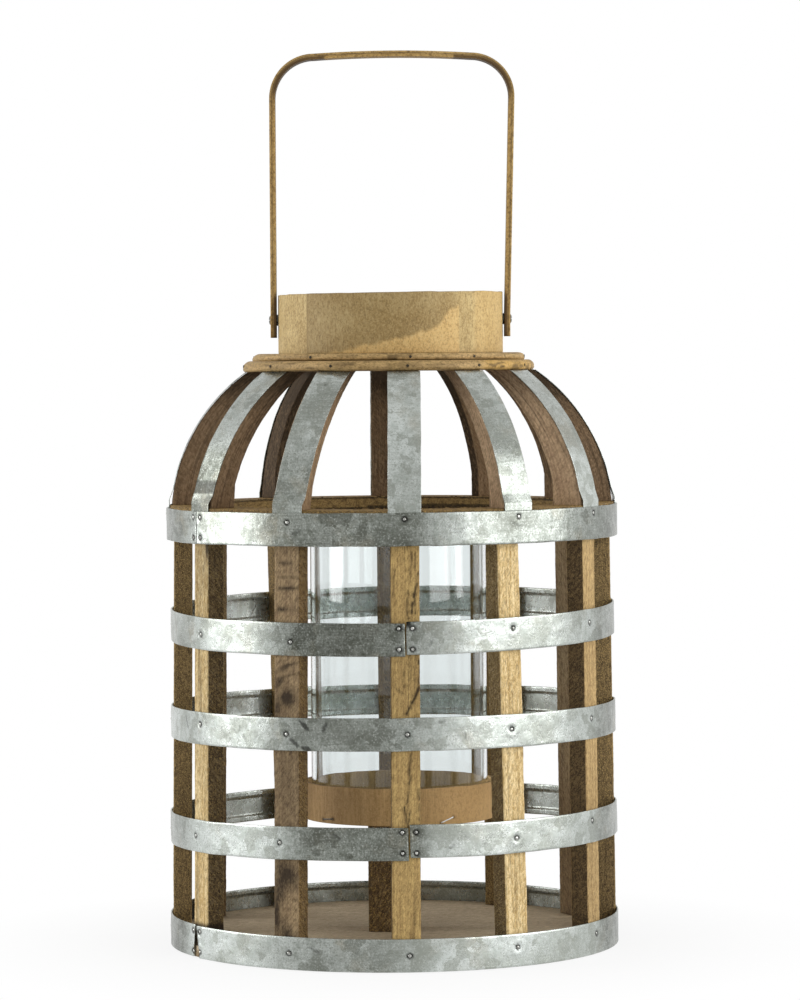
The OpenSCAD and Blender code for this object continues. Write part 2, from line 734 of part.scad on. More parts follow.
module pedestal() color(wood_mid)
    difference() {
        translate([pedestal_x, 0, base_t]) rotate([0, 0, pedestal_turn])
            translate([-pedestal_w / 2, -pedestal_w / 2, 0])
                cube([pedestal_w, pedestal_w, pedestal_h]);
        rotate([180, 0, 0]) at_screws(0) screw_hole(base_t + screw_bite);
        at_screws(cup_z + cup_disc_t) screw_hole(cup_disc_t + screw_bite);
    }

module cup_disc() color(wood_mid)
    difference() {
        translate([cup_x, 0, cup_z])
            cylinder(r = cup_r - cup_t - joint_gap, h = cup_disc_t, $fn = 180);
        at_staples() staple_hole();
        at_screws(cup_z + cup_disc_t) screw_hole(cup_disc_t + screw_bite);
    }

module cup_hoop() color(wood_light)
    difference() {
        translate([cup_x, 0, cup_z]) ring(cup_r, cup_r - cup_t, cup_h);
        at_staples() staple_hole();
    }

module hoop_staples() color(steel)
    at_staples() staple(staple_wire);

module glass_chimney() color("#DCE8EA", 0.35)
    translate([cup_x, 0, glass_z]) {
        ring(glass_r, glass_r - glass_t, glass_h - glass_t / 2);
        translate([0, 0, glass_h - glass_t / 2])
            rotate_extrude($fn = 180) translate([glass_r - glass_t / 2, 0]) circle(d = glass_t);
    }

// ---- Nails and screws ----

module hoop_nails() color(steel)
    for (h = [0:4], i = [0:count - 1])
        at_hoop_nails(h, i)
            nail(nail_r, h == 4 ? shoulder_nail_l : post_nail_l, nail_head_r, nail_head_t);

module rim_nails() color(steel) {
    at_rim_brads(rim_lower_brads, rim_lower_r, rim_z + rim_lower_t / 2)
        nail(brad_r, brad_l, brad_r * 1.6, nail_head_t / 2);
    at_rim_brads(rim_upper_brads, rim_upper_r, upper_z + rim_upper_t / 2)
        nail(brad_r, brad_l, brad_r * 1.6, nail_head_t / 2);
}

module strap_nails() color(steel)
    for (i = [0:count - 1])
        at_strap_nail(i) nail(nail_r, strap_nail_l, nail_head_r, nail_head_t);

module pedestal_screws() color(steel) {
    rotate([180, 0, 0]) at_screws(0) screw(base_t + screw_bite);
    at_screws(cup_z + cup_disc_t) screw(cup_disc_t + screw_bite);
}

module frame_nails() color(steel)
    for (i = [0:count - 1]) {
        at_post_foot_nail(i) sunk_nail(base_t + long_nail_bite);
        at_post_top_nail(i) sunk_nail(shoulder_t + long_nail_bite);
        at_rib_foot_nail(i) sunk_nail(shoulder_t + rib_nail_bite);
        at_rib_top_nail(i) sunk_nail(rim_lower_t + rim_nail_bite);
    }

base_disc();
for (i = [0:count - 1]) {
    post(i);
    rib(i);
    strap(i);
}
for (h = [0:4])
    hoop(h);
shoulder_ring();
rim_ring_lower();
rim_ring_upper();
collar();
handle();
pivot_screws();
pivot_washers();
pivot_nuts();
cup_disc();
cup_hoop();
hoop_staples();
pedestal();
glass_chimney();
hoop_nails();
rim_nails();
strap_nails();
pedestal_screws();
frame_nails();
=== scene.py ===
"""Looks of a candle lantern: sawn wooden posts and ribs in galvanised hoops and straps, two rim
rings, a bentwood collar with a bail handle, and a glass chimney in a bentwood cup.
Lengths here are in millimetres, and make_piece() turns them to metres. Angles round the cage are
in degrees from the front (-Y) towards +X."""
import math

import bpy
import numpy as np
from mathutils import Matrix, Vector


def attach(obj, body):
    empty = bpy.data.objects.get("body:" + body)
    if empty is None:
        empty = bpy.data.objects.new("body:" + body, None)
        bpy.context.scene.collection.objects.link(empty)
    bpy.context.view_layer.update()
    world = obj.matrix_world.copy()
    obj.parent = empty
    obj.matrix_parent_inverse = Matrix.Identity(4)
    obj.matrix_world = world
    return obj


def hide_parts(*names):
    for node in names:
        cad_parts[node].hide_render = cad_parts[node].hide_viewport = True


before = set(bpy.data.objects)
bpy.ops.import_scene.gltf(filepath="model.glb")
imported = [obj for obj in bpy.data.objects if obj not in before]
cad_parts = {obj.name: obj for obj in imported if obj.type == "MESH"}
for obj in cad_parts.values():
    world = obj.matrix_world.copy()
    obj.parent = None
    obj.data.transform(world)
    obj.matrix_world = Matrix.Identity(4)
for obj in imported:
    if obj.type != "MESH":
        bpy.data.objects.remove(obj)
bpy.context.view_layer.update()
MM = 0.001

# ---- Sizes, as the frame has them ----
COUNT = 12
BASE_TOP = 8.0
POST_TOP = 297.5
RING_TOP = 309.5
RIM_Z = 402.6
UPPER_Z = 409.7
COLLAR_Z = 414.8
COLLAR_TOP = 456.6
PIVOT_Z = 438.4
TAPER = 3.0
BASE_R = 156.6
RING_R = 156.2
RING_HOLE_R = 122.2
POST_W, POST_D = 19.5, 13.0
RIB_W, RIB_D, RIB_FOOT_EXTRA = 21.0, 16.5, 3.5
RIB_R, STRAP_R, SHEET, STRAP_W = 126.6, 127.3, 0.5, 22.4
KINK_Z, SLOPE, TAB_R, TAB_FOOT_Z = 320.0, 0.38, 156.8, 291.5
HOOP_H, HOOP_WALL, HEM = 22.4, 1.1, 4.0
RIM_X, RIM_HOLE_R = -1.5, 73.0
RIM_LOWER_R, RIM_UPPER_R = 102.5, 95.75
COLLAR_R, COLLAR_T = 79.0, 3.0
CUP_X, CUP_R, CUP_T, CUP_Z, CUP_H = 4.2, 67.5, 2.5, 88.0, 26.0
CUP_DISC_R, CUP_DISC_TOP = 64.9, 96.0
PEDESTAL_HALF, PEDESTAL_TURN, PEDESTAL_X = 17, -6, 0.2
GLASS_R, GLASS_T, GLASS_Z, GLASS_H = 62.0, 2.6, 96.1, 203.0

# The cage is put together by hand. Each list has one value a post or rib, from the front round by
# way of the right side: degrees off an even spacing, degrees of twist, and millimetres or degrees
# that it leans, is deeper, or has slipped sideways
FIRST, STEP = 2.5, 30.0
POST_SHIFT = [0.4, 0, -0.5, -0.5, -3, -4, -2, -2.5, -0.5, -0.5, -1.1, -0.5]
RIB_SHIFT = [0.6, 0.5, -1.7, -0.5, -1, -2.5, -0.9, 1.7, -0.5, 0.1, 0.5, 0.8]
POST_TWIST = [0, 8, 1, 0, -1, 2, -2, 0, 1, 0, 0, -1]
RIB_TWIST = [-2.5, 0, -2, 0, 1, 0, -1, 0, 1.5, 0, 4, 5]
RIB_LEAN = [0.6, -1.4, -1, 0, 0, 0, 0, 0, 0, 0, 6.5, 7]
RIB_DEEPER = [0, -1, 3.5, 0, 0, 1, 0, 0, 0, 1.5, 0.5, -1]
RIB_SLIP = [0, 0, 0, 0, 0, 0, 0, 0, 0, 0, 0, -1.5]
POST_LEAN = [1, -4, 0, 2, 0, 0, 1, 9, -1, 0, 0, 1]
POST_AT = [FIRST + STEP * i + s for i, s in enumerate(POST_SHIFT)]
RIB_AT = [FIRST + STEP * i + s for i, s in enumerate(RIB_SHIFT)]
# The five hoops: middle height, tilt in degrees to the right and to the back, and outer radius
HOOPS = ["bottom_hoop", "lower_hoop", "middle_hoop", "upper_hoop", "shoulder_hoop"]
HOOP_MID = [11.2, 85.8, 158.6, 227.2, 296.9]
HOOP_TILT = [(0, 0), (0.95, -0.4), (0.35, -0.35), (0.65, 1.35), (0.2, 0)]
HOOP_R = [158.0 - TAPER * (mid - HOOP_H / 2) / (POST_TOP - BASE_TOP)
          + HOOP_H / 2 * math.sin(math.radians(math.hypot(*tilt)))
          for mid, tilt in zip(HOOP_MID, HOOP_TILT)]
HOOP_R[4] = 158.6
# Where each hoop's seam is: its post, and millimetres across from that post's middle
SEAM_POST = [10, 0, 6, 0, 10]
SEAM_ACROSS = [-3, 2, 0, 0, 3]
# Each hoop nail's millimetres across from its post, and up from the hoop's middle line
NAIL_ACROSS = [
    [2, -2, -1, 1, 0, -1, 2, -2, 1, -1, 0, 3],
    [0, -1, -5, -2, 1, 0, -2, 1, 2, 0, -4, -4],
    [1, -3, -4, 0, 2, 1, 0, -1, 0, 2, 2, 1],
    [0, 0, -5, 1, -1, 2, 1, 0, -2, 1, 3, 4],
    [0, -1, 0, 1, -1, 0, 2, 1, -1, 0, 0, 1],
]
NAIL_UP = [
    [0, 2, 3, 1, 0, -1, 1, 0, 2, 1, 0, 0],
    [0, -1, 4, 1, 0, 2, -1, 1, 0, -2, 0, 0],
    [0, 1, 3, 2, -1, 0, 0, 1, 0, 1, 3, 0],
    [0, 4, 2, 0, 1, -1, 2, 0, 1, 0, -1, -2],
    [7, 7, 7, 6, 7, 8, 7, 6, 7, 7, 7, 5],
]
SEAM_NAIL_ACROSS, SEAM_NAIL_UP = 4.6, 7.0
DOME_FOOT = np.array([155.5, RING_TOP])
DOME_TOP = np.array([RIM_LOWER_R - 1.25, RIM_Z])


def dome_centre():
    """The centre of the strap's curve: half way between its ends, moved square to the line
    that joins them by the rest of the radius."""
    chord = DOME_TOP - DOME_FOOT
    length = np.linalg.norm(chord)
    across = np.array([-chord[1], chord[0]]) / length
    return (DOME_FOOT + DOME_TOP) / 2 + across * math.sqrt(STRAP_R**2 - length**2 / 4)


DOME_MID = dome_centre()


def dome_at(r, z):
    """Distance from the middle of a circle of radius r about the dome's centre, at height z."""
    return DOME_MID[0] + np.sqrt(r * r - (z - DOME_MID[1]) ** 2)


# ---- Arrays ----


def rough(points, size, seed):
    """Smooth random values from -1 to 1: a random value at each corner of a lattice of the
    given size in millimetres, and between the corners a blend of the eight nearest."""
    q = np.asarray(points, float) / size
    cell = np.floor(q).astype(np.int64)
    part = q - cell
    part = part * part * (3 - 2 * part)
    total = np.zeros(q.shape[:-1])
    for corner in range(8):
        offset = np.array([corner & 1, corner >> 1 & 1, corner >> 2 & 1])
        c = cell + offset
        key = (c[..., 0] * 374761393 + c[..., 1] * 668265263 + c[..., 2] * 1440670441
               + seed * 1274126177) & 0xFFFFFFFF
        key = ((key ^ (key >> 13)) * 1274126177) & 0xFFFFFFFF
        value = ((key ^ (key >> 16)) & 0xFFFF) / 32767.5 - 1
        total += value * np.prod(np.where(offset, part, 1 - part), axis=-1)
    return total


def smooth_step(low, high, value):
    """0 below low, 1 above high, and an S curve between them."""
    t = np.clip((value - low) / (high - low), 0, 1)
    return t * t * (3 - 2 * t)


def bell(distance, width):
    """A bell curve: 1 at no distance, and 0.37 at the width."""
    return np.exp(-((distance / width) ** 2))


def half_turn(angle):
    """The same angle from -180 to 180."""
    return (angle + 180) % 360 - 180


def unit(rows):
    """Each row brought to length one."""
    return rows / np.linalg.norm(rows, axis=1)[:, None]


def rounded_box(x0, x1, y0, y1, radius, spacing):
    """Points round a rectangle with quarter-circle corners, anticlockwise, about `spacing`
    apart on the sides. Returns the points and, for each, the outward direction."""
    xs, ys = (x0 + radius, x1 - radius), (y0 + radius, y1 - radius)
    corners = [(xs[1], ys[0], -90), (xs[1], ys[1], 0), (xs[0], ys[1], 90), (xs[0], ys[0], 180)]
    points, normals = [], []
    for k, (cx, cy, turn) in enumerate(corners):
        a = np.radians(turn + np.linspace(0, 90, 6))
        n = np.stack([np.cos(a), np.sin(a)], 1)
        points.append(np.array([cx, cy]) + radius * n)
        normals.append(n)
        nx, ny, _ = corners[(k + 1) % 4]
        start = points[-1][-1]
        end = np.array([nx, ny]) + radius * n[-1]
        steps = max(1, int(round(np.linalg.norm(end - start) / spacing)))
        t = np.linspace(0, 1, steps + 1)[1:-1, None]
        points.append(start + (end - start) * t)
        normals.append(np.repeat(n[-1:], len(t), 0))
    return np.concatenate(points), np.concatenate(normals)


def around(angle, r, z):
    """Points at angles in degrees round the middle, distances r and heights z."""
    a = np.radians(angle)
    return np.stack(np.broadcast_arrays(r * np.sin(a), -r * np.cos(a), z), -1)


def turn_about(points, angle, x=0.0, y=0.0):
    """The points turned by an angle in degrees about an upright line through (x, y)."""
    a = np.radians(angle)
    dx, dy = points[..., 0] - x, points[..., 1] - y
    c, s = np.cos(a), np.sin(a)
    return np.stack([x + c * dx - s * dy, y + s * dx + c * dy, points[..., 2]], -1)


def corner_share(normals):
    """1 in the middle of a section's rounded corners, and 0 on its faces."""
    return 1 - np.abs(np.abs(normals[:, 0]) - np.abs(normals[:, 1]))


def build(name, points, quads, caps, material, attributes, body):
    """One object from points in millimetres. Its quads are smooth, and its caps are flat."""
    mesh = bpy.data.meshes.new(name)
    mesh.from_pydata(points.reshape(-1, 3) * MM, [], quads.tolist() + [c.tolist() for c in caps])
    smooth = np.ones(len(mesh.polygons), bool)
    smooth[len(quads):] = False
    mesh.polygons.foreach_set("use_smooth", smooth)
    for key, value in attributes.items():
        value = np.broadcast_to(np.asarray(value, np.float32), points.shape[:-1]
                                + ((3,) if key == "grain" else ()))
        layer = mesh.attributes.new(key, "FLOAT_VECTOR" if key == "grain" else "FLOAT", "POINT")
        layer.data.foreach_set("vector" if key == "grain" else "value", value.ravel())
    mesh.materials.append(material)
    mesh.update()
    piece = bpy.data.objects.new(name, mesh)
    bpy.context.scene.collection.objects.link(piece)
    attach(piece, body)
    return piece


def grid_quads(index, closed_path=False):
    """The four corners of each square of a grid of point numbers whose rows are closed."""
    wide = np.concatenate([index, index[..., :1]], -1)
    if closed_path:
        wide = np.concatenate([wide, wide[:1]], 0)
    quads = [wide[..., :-1, :-1], wide[..., :-1, 1:], wide[..., 1:, 1:], wide[..., 1:, :-1]]
    return np.stack(quads, -1).reshape(-1, 4)


def make_piece(name, points, material, closed_path=False, attributes=None, body="cage"):
    """A closed solid from a grid of points in millimetres: rows run along its path, and each row
    goes once round its section. Open ends are capped. It is turned right side out by the sign of
    its volume. Each attribute is one number a point, and `grain` is a vector."""
    rows, ring = points.shape[:2]
    index = np.arange(rows * ring).reshape(rows, ring)
    quads = grid_quads(index, closed_path)
    caps = [] if closed_path else [index[0][::-1], index[-1]]
    a, b, c, d = (points.reshape(-1, 3)[quads[:, k]] for k in range(4))
    if np.sum(a * np.cross(b, c)) + np.sum(a * np.cross(c, d)) < 0:
        quads = quads[:, ::-1]
        caps = [cap[::-1] for cap in caps]
    return build(name, points, quads, caps, material, attributes or {}, body)


def stand_for(node):
    """The CAD node is hidden, as a piece is shown in its place."""
    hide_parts(node)


# ---- Materials ----


def colour(code):
    """A hex sRGB colour as linear red, green, blue and alpha."""
    parts = [int(code[k:k + 2], 16) / 255 for k in (1, 3, 5)]
    return [p / 12.92 if p <= 0.04045 else ((p + 0.055) / 1.055) ** 2.4 for p in parts] + [1.0]


def add(tree, kind, inputs=(), **settings):
    """Adds a node. Settings are its properties. Inputs go by name or number, or are a tuple in
    the node's own order, and each is a socket, a value or a hex colour."""
    node = tree.nodes.new(kind)
    for key, value in settings.items():
        setattr(node, key, value)
    for key, value in inputs.items() if isinstance(inputs, dict) else enumerate(inputs):
        if isinstance(value, bpy.types.NodeSocket):
            tree.links.new(value, node.inputs[key])
        else:
            node.inputs[key].default_value = colour(value) if isinstance(value, str) else value
    return node


def new_material(name):
    """A material and its empty node tree."""
    material = bpy.data.materials.new(name)
    material.use_nodes = True
    tree = material.node_tree
    tree.nodes.clear()
    return material, tree


def attributes_of(tree, *names):
    """The values of the mesh's attributes of these names."""
    return (add(tree, "ShaderNodeAttribute", attribute_name=name).outputs["Fac"] for name in names)


def pattern(tree, vector, per_mm, stretch, detail, roughness):
    """Lumps on a vector in millimetres: so many a millimetre, and drawn out along an axis as its
    share of the stretch gets smaller."""
    scaled = add(tree, "ShaderNodeMapping", {"Vector": vector, "Scale": stretch})
    return add(tree, "ShaderNodeTexNoise", {"Vector": scaled.outputs[0], "Scale": per_mm,
               "Detail": detail, "Roughness": roughness}).outputs[0]


def layers(tree, below, rows):
    """Lays colours over one another. Each row has a pattern, its values where the colour begins
    and where it is full, how much that covers, and the colour."""
    for value, start, full, cover, over in rows:
        amount = add(tree, "ShaderNodeMapRange", (value, start, full, 0.0, cover)).outputs[0]
        below = add(tree, "ShaderNodeMix", {0: amount, 6: below, 7: over},
                    data_type="RGBA").outputs[2]
    return below


def finish_material(tree, inputs, height=None, strength=0.0, depth=0.0):
    """Ends a material with its shader, and with a bump of a depth in metres if it has one."""
    if height:
        bump = add(tree, "ShaderNodeBump", {"Height": height, "Strength": strength,
                   "Distance": depth})
        inputs = inputs | {"Normal": bump.outputs[0]}
    shader = add(tree, "ShaderNodeBsdfPrincipled", inputs)
    add(tree, "ShaderNodeOutputMaterial", {"Surface": shader.outputs[0]})


def sawn_wood(name, pale, deep, side, fleck, dark="#241A10", saw=0.16):
    """Rough sawn softwood under a rubbed brown stain. The stain stays dark in the saw fuzz of the
    sides, where raised fibres catch the light as flecks, and the outer faces are rubbed back to
    the pale wood. The `grain` attribute holds across, depth and along in millimetres. `rubbed`
    says how far a place is rubbed back, `crack` how split it is, and a third attribute how dark it
    is, by dried stain and by painted shade. `saw` is how plainly the slanting marks of the saw
    show."""
    material, tree = new_material(name)
    grain = add(tree, "ShaderNodeAttribute", attribute_name="grain").outputs["Vector"]
    rubbed, crack, dirt_and_painted_shade = attributes_of(tree, "rubbed", "crack", "dirt_and_painted_shade")
    # Growth lines about 1.5 mm apart and some 50 mm long
    lines = pattern(tree, grain, 0.62, (1, 1, 0.03), 3.0, 0.6)
    # Torn fibres 1 mm across and 3 mm long
    fibre = pattern(tree, grain, 0.95, (1, 1, 0.33), 2.0, 0.65)
    # Saw fuzz and pores of about 0.8 mm, as fine as shows
    fuzz = pattern(tree, grain, 1.25, (1, 1, 0.8), 2.0, 0.7)
    # Open pores 1 mm across and 4 mm long
    pores = pattern(tree, grain, 1.05, (1, 1, 0.25), 1.0, 0.5)
    # Saw marks 1 mm apart and some 5 mm long, which slant steeply across the grain
    slanted = add(tree, "ShaderNodeMapping", {"Vector": grain, "Rotation": (0.8, 0.8, 0.0)})
    marks = pattern(tree, slanted.outputs[0], 1.0, (0.2, 0.2, 1), 2.0, 0.5)
    # Grit of 2 mm on the faces, and of under 1 mm on the sides
    grit = pattern(tree, grain, 0.55, (1, 1, 0.4), 3.0, 0.75)
    dots = pattern(tree, grain, 1.5, (1, 1, 0.7), 2.0, 0.75)
    # Clouds in the stain over 20 mm
    clouds = pattern(tree, grain, 0.05, (1, 1, 0.4), 3.0, 0.6)
    # Splits along the grain, 3 mm apart
    split = pattern(tree, grain, 0.36, (1, 1, 0.035), 3.0, 0.55)
    wood = layers(tree, pale, (
        (lines, 0.40, 0.66, 1.0, deep), (clouds, 0.45, 0.75, 0.6, deep),
        (fibre, 0.50, 0.66, 0.75, deep), (fuzz, 0.46, 0.32, 0.9, pale),
        (fuzz, 0.56, 0.66, 0.5, side), (pores, 0.57, 0.64, 0.5, side),
        (grit, 0.50, 0.66, 0.7, deep), (grit, 0.48, 0.34, 0.5, pale)))
    sides = layers(tree, side, (
        (fibre, 0.42, 0.62, 0.55, dark), (lines, 0.45, 0.62, 0.35, dark),
        (grit, 0.50, 0.64, 0.5, dark), (dots, 0.53, 0.61, 1.0, fleck)))
    ragged = add(tree, "ShaderNodeMapRange", (fuzz, 0.3, 0.7, -0.22, 0.22)).outputs[0]
    edge = add(tree, "ShaderNodeMath", (rubbed, ragged), operation="ADD").outputs[0]
    open_split = add(tree, "ShaderNodeMapRange", (split, 0.585, 0.62)).outputs[0]
    splits = add(tree, "ShaderNodeMath", (open_split, crack), operation="MULTIPLY").outputs[0]
    # The dark attribute holds dried stain and painted shade; it soaks deeper where the fibres are
    # open.
    soaked = add(tree, "ShaderNodeMapRange", (fibre, 0.3, 0.7, 0.7, 1.15)).outputs[0]
    stain = add(tree, "ShaderNodeMath", (dirt_and_painted_shade, soaked), operation="MULTIPLY").outputs[0]
    whole = layers(tree, sides, (
        (edge, 0.38, 0.62, 1.0, wood), (marks, 0.50, 0.62, saw, dark),
        (marks, 0.50, 0.38, saw * 0.6, pale), (splits, 0.0, 1.0, 1.0, dark),
        (stain, 0.0, 1.0, 0.92, dark)))
    raised = add(tree, "ShaderNodeMath", (fuzz, fibre), operation="ADD").outputs[0]
    height = add(tree, "ShaderNodeMath", (raised, splits), operation="SUBTRACT").outputs[0]
    finish_material(tree, {"Base Color": whole, "Roughness": 0.78, "IOR": 1.45,
                    "Specular IOR Level": 0.25}, height, 0.6, 0.0006)
    return material


def in_millimetres(tree):
    """A piece's own coordinates in millimetres."""
    place = add(tree, "ShaderNodeTexCoord").outputs["Object"]
    return add(tree, "ShaderNodeVectorMath", {0: place, "Scale": 1 / MM},
               operation="SCALE").outputs[0]


def galvanised(name):
    """Hot-dipped galvanised sheet, weathered: faint zinc crystals with angular sides, a
    grey-green patina in clouds, warm stains, and fine rolled-in specks. Its gloss is wide, so it
    shades softly from lamp to lamp. One attribute says how little it has weathered, with painted
    bright and dull reflection in it; another darkens it with dirt and scars, and with painted shade
    round the nails and at the strap's kink."""
    material, tree = new_material(name)
    mm = in_millimetres(tree)
    dirt_and_painted_shade, painted_sheen_and_freshness = attributes_of(tree, "dirt_and_painted_shade", "painted_sheen_and_freshness")
    # Crystals some 9 mm across, their sides bent by lumps of 6 mm
    warp = add(tree, "ShaderNodeTexNoise", {"Vector": mm, "Scale": 0.16, "Detail": 3.0})
    moved = add(tree, "ShaderNodeVectorMath", {0: warp.outputs["Color"], "Scale": 9.0},
                operation="SCALE").outputs[0]
    bent = add(tree, "ShaderNodeVectorMath", (mm, moved), operation="ADD").outputs[0]
    crystals = add(tree, "ShaderNodeTexVoronoi", {"Vector": bent, "Scale": 0.11})
    shade = add(tree, "ShaderNodeSeparateColor", {0: crystals.outputs["Color"]}).outputs
    # Patina in clouds of 45 mm, stains of 30 mm, mottling of 5 mm and specks of 1 mm
    clouds = pattern(tree, mm, 0.022, (1, 1, 1.4), 4.0, 0.62)
    stains = pattern(tree, mm, 0.035, (1, 1, 1), 3.0, 0.6)
    small = pattern(tree, mm, 0.22, (1, 1, 0.7), 4.0, 0.7)
    specks = pattern(tree, mm, 0.85, (1, 1, 1), 2.0, 0.6)
    # Level scratches 1 mm apart and 12 mm long
    rolled = pattern(tree, mm, 0.9, (0.1, 0.1, 1), 2.0, 0.6)
    bright, dull, patina = (
        add(tree, "ShaderNodeMix", {0: painted_sheen_and_freshness, 6: old, 7: new}, data_type="RGBA").outputs[2]
        for old, new in (("#7C8079", "#DDE3E0"), ("#5E6259", "#C1C8C3"), ("#42443B", "#A3A89F")))
    zinc = layers(tree, bright, (
        (small, 0.38, 0.62, 1.0, dull), (stains, 0.52, 0.70, 0.6, "#908B7B"),
        (shade[0], 0.60, 0.64, 0.65, bright), (shade[1], 0.78, 0.80, 0.6, patina),
        (clouds, 0.47, 0.66, 0.75, patina), (specks, 0.53, 0.66, 0.7, patina),
        (specks, 0.44, 0.30, 0.45, "#C4C8C3"), (rolled, 0.54, 0.68, 0.3, patina),
        (rolled, 0.46, 0.33, 0.12, "#C4C8C3"), (dirt_and_painted_shade, 0.0, 1.0, 1.0, "#14120E")))
    roughness = add(tree, "ShaderNodeMapRange", (small, 0.3, 0.7, 0.22, 0.34)).outputs[0]
    pits = add(tree, "ShaderNodeMath", (specks, 0.25), operation="MULTIPLY").outputs[0]
    height = add(tree, "ShaderNodeMath", (small, pits), operation="ADD").outputs[0]
    finish_material(tree, {"Base Color": zinc, "Metallic": 0.85, "Roughness": roughness}, height,
                    0.35, 0.0005)
    return material


def plain_metal(name, base, dirt, roughness):
    """Drawn wire, nails and screws: bright where rubbed, with dull dirt in spots of 1 mm."""
    material, tree = new_material(name)
    rust = pattern(tree, in_millimetres(tree), 0.9, (1, 1, 1), 3.0, 0.6)
    metal = layers(tree, base, ((rust, 0.42, 0.66, 1.0, dirt),))
    finish_material(tree, {"Base Color": metal, "Metallic": 0.9, "Roughness": roughness})
    return material


def bent_veneer(name, pale, deep, dark, gold, along=(1, 1, 0.12), flecks=1.0):
    """Sliced veneer, steamed and bent, under a thin brown stain: pores drawn out along the grain,
    fine flecks all over, and broad clouds. `grain` is in millimetres with the wood's own grain
    last, a dark attribute holds glue lines, ends and painted shade, and `gold` is where the stain
    is thin. The fewer `flecks`, the plainer the lines of the grain."""
    material, tree = new_material(name)
    grain = add(tree, "ShaderNodeAttribute", attribute_name="grain").outputs["Vector"]
    dirt_and_painted_shade, thin = attributes_of(tree, "dirt_and_painted_shade", "gold")
    # Pores 1.3 mm apart, bands 8 mm wide and clouds of 45 mm
    lines = pattern(tree, grain, 0.75, along, 3.0, 0.65)
    broad = pattern(tree, grain, 0.12, along, 2.0, 0.6)
    clouds = pattern(tree, grain, 0.022, (1, 1, 1), 3.0, 0.6)
    # Raised fibres of 1 mm, and flecks of 1.7 mm
    fuzz = pattern(tree, grain, 0.95, (1, 1, 0.7), 2.0, 0.7)
    weave = pattern(tree, grain, 0.6, (1, 1, 0.7), 2.0, 0.7)
    wood = layers(tree, pale, (
        (lines, 0.36, 0.68, 1.1 - 0.5 * flecks, deep), (broad, 0.45, 0.70, 0.5, deep),
        (clouds, 0.42, 0.66, 0.8, deep), (thin, 0.0, 1.0, 1.0, gold),
        (weave, 0.50, 0.66, 0.5 * flecks, dark), (weave, 0.48, 0.34, 0.5 * flecks, pale),
        (fuzz, 0.53, 0.66, 0.45 * flecks, dark), (fuzz, 0.46, 0.32, 0.65, pale),
        (dirt_and_painted_shade, 0.0, 1.0, 1.0, dark)))
    height = add(tree, "ShaderNodeMath", (lines, fuzz), operation="ADD").outputs[0]
    finish_material(tree, {"Base Color": wood, "Roughness": 0.62, "IOR": 1.45,
                    "Specular IOR Level": 0.3}, height, 0.35, 0.0004)
    return material


def clear_glass(name):
    """Blown soda-lime glass, smooth and clear. It lets lamp light through to what it shades."""
    material, tree = new_material(name)
    glass = add(tree, "ShaderNodeBsdfPrincipled", {"Base Color": "#EEF2F2", "Roughness": 0.0,
                "IOR": 1.4, "Transmission Weight": 1.0})
    clear = add(tree, "ShaderNodeBsdfTransparent", {"Color": "#F5F7F8"})
    path = add(tree, "ShaderNodeLightPath")
    through = add(tree, "ShaderNodeMixShader", (path.outputs["Is Shadow Ray"], glass.outputs[0],
                  clear.outputs[0]))
    add(tree, "ShaderNodeOutputMaterial", {"Surface": through.outputs[0]})
    return material


POST_WOODS = {
    "pale": sawn_wood("sawn_pine_rubbed_pale", "#EDD6A5", "#B6965C", "#67553A", "#A08654"),
    "gold": sawn_wood("sawn_pine_rubbed_gold", "#CAAC70", "#967A4D", "#6B5838", "#A08350"),
    "brown": sawn_wood("sawn_pine_stained_brown", "#A9926E", "#76614A", "#6A5436", "#A0824C",
                       saw=0.3),
    "tan": sawn_wood("sawn_pine_rubbed_tan", "#CCAE7A", "#977B50", "#58472F", "#7A6442"),
    "coarse": sawn_wood("band_sawn_pine_stained", "#A48A58", "#74603C", "#86704C", "#B09460"),
}
RIB_WOOD = sawn_wood("sawn_hardwood_stained_dark", "#BC9E7C", "#8C7254", "#8A7052", "#B89870",
                     "#33281B", 0.25)
PALE_RIB_WOOD = sawn_wood("sawn_hardwood_rubbed_pink", "#DCC09C", "#AE9276", "#A68D6B", "#CEB08C",
                          "#3A2D1D", 0.25)
BOARD_WOOD = sawn_wood("sawn_board_grey_brown", "#D8C6A8", "#B29F82", "#8A7658", "#B09C7C",
                       "#5E4E3A", 0.25)
RING_WOOD = sawn_wood("sawn_plywood_edge", "#C0A066", "#92764A", "#7A6440", "#B09058", "#2A2115")
RIM_WOOD = bent_veneer("bent_ply_rim", "#C6A673", "#967C4C", "#4A3A20", "#D2A85A", (1, 1, 0.06))
COLLAR_WOOD = bent_veneer("bent_veneer_collar", "#CFB884", "#9E824E", "#64502F", "#DEB877",
                          (1, 1, 0.3), 0.75)
CUP_WOOD = bent_veneer("bent_veneer_cup", "#CEAA76", "#A48252", "#5E482E", "#D6AE74",
                       (1, 1, 0.05), 0.4)
HANDLE_WOOD = bent_veneer("bent_ply_handle", "#C6A76C", "#9A7B48", "#4E3A1E", "#C49C56",
                          (1, 1, 0.06))
ZINC = galvanised("galvanised_sheet")
STEEL = plain_metal("dull_steel_wire", "#6C6B65", "#2A251D", 0.36)
# Four of the cup's staples get a near-white copy of the steel: a painted highlight.
STAPLE_STEEL_PAINTED_HIGHLIGHT = plain_metal("staple_steel_painted_highlight", "#F0F0EE", "#C8C8C4", 0.5)
NAIL_STEEL = plain_metal("zinc_plated_nail", "#C2C3BE", "#3E3A31", 0.3)
DARK_STEEL = plain_metal("browned_steel_nail", "#3A342B", "#1E1A15", 0.5)
GLASS = clear_glass("clear_blown_glass")


# ---- Wooden posts ----

POST_LOOK = ["gold", "pale", "tan", "coarse", "brown", "gold", "brown", "gold", "brown", "coarse",
             "pale", "brown"]
# How split each post's faces are
POST_CRACK = [0.3, 0.25, 0.1, 0.3, 0.5, 0.6, 0.5, 0.6, 0.5, 0.2, 0.35, 0.12]
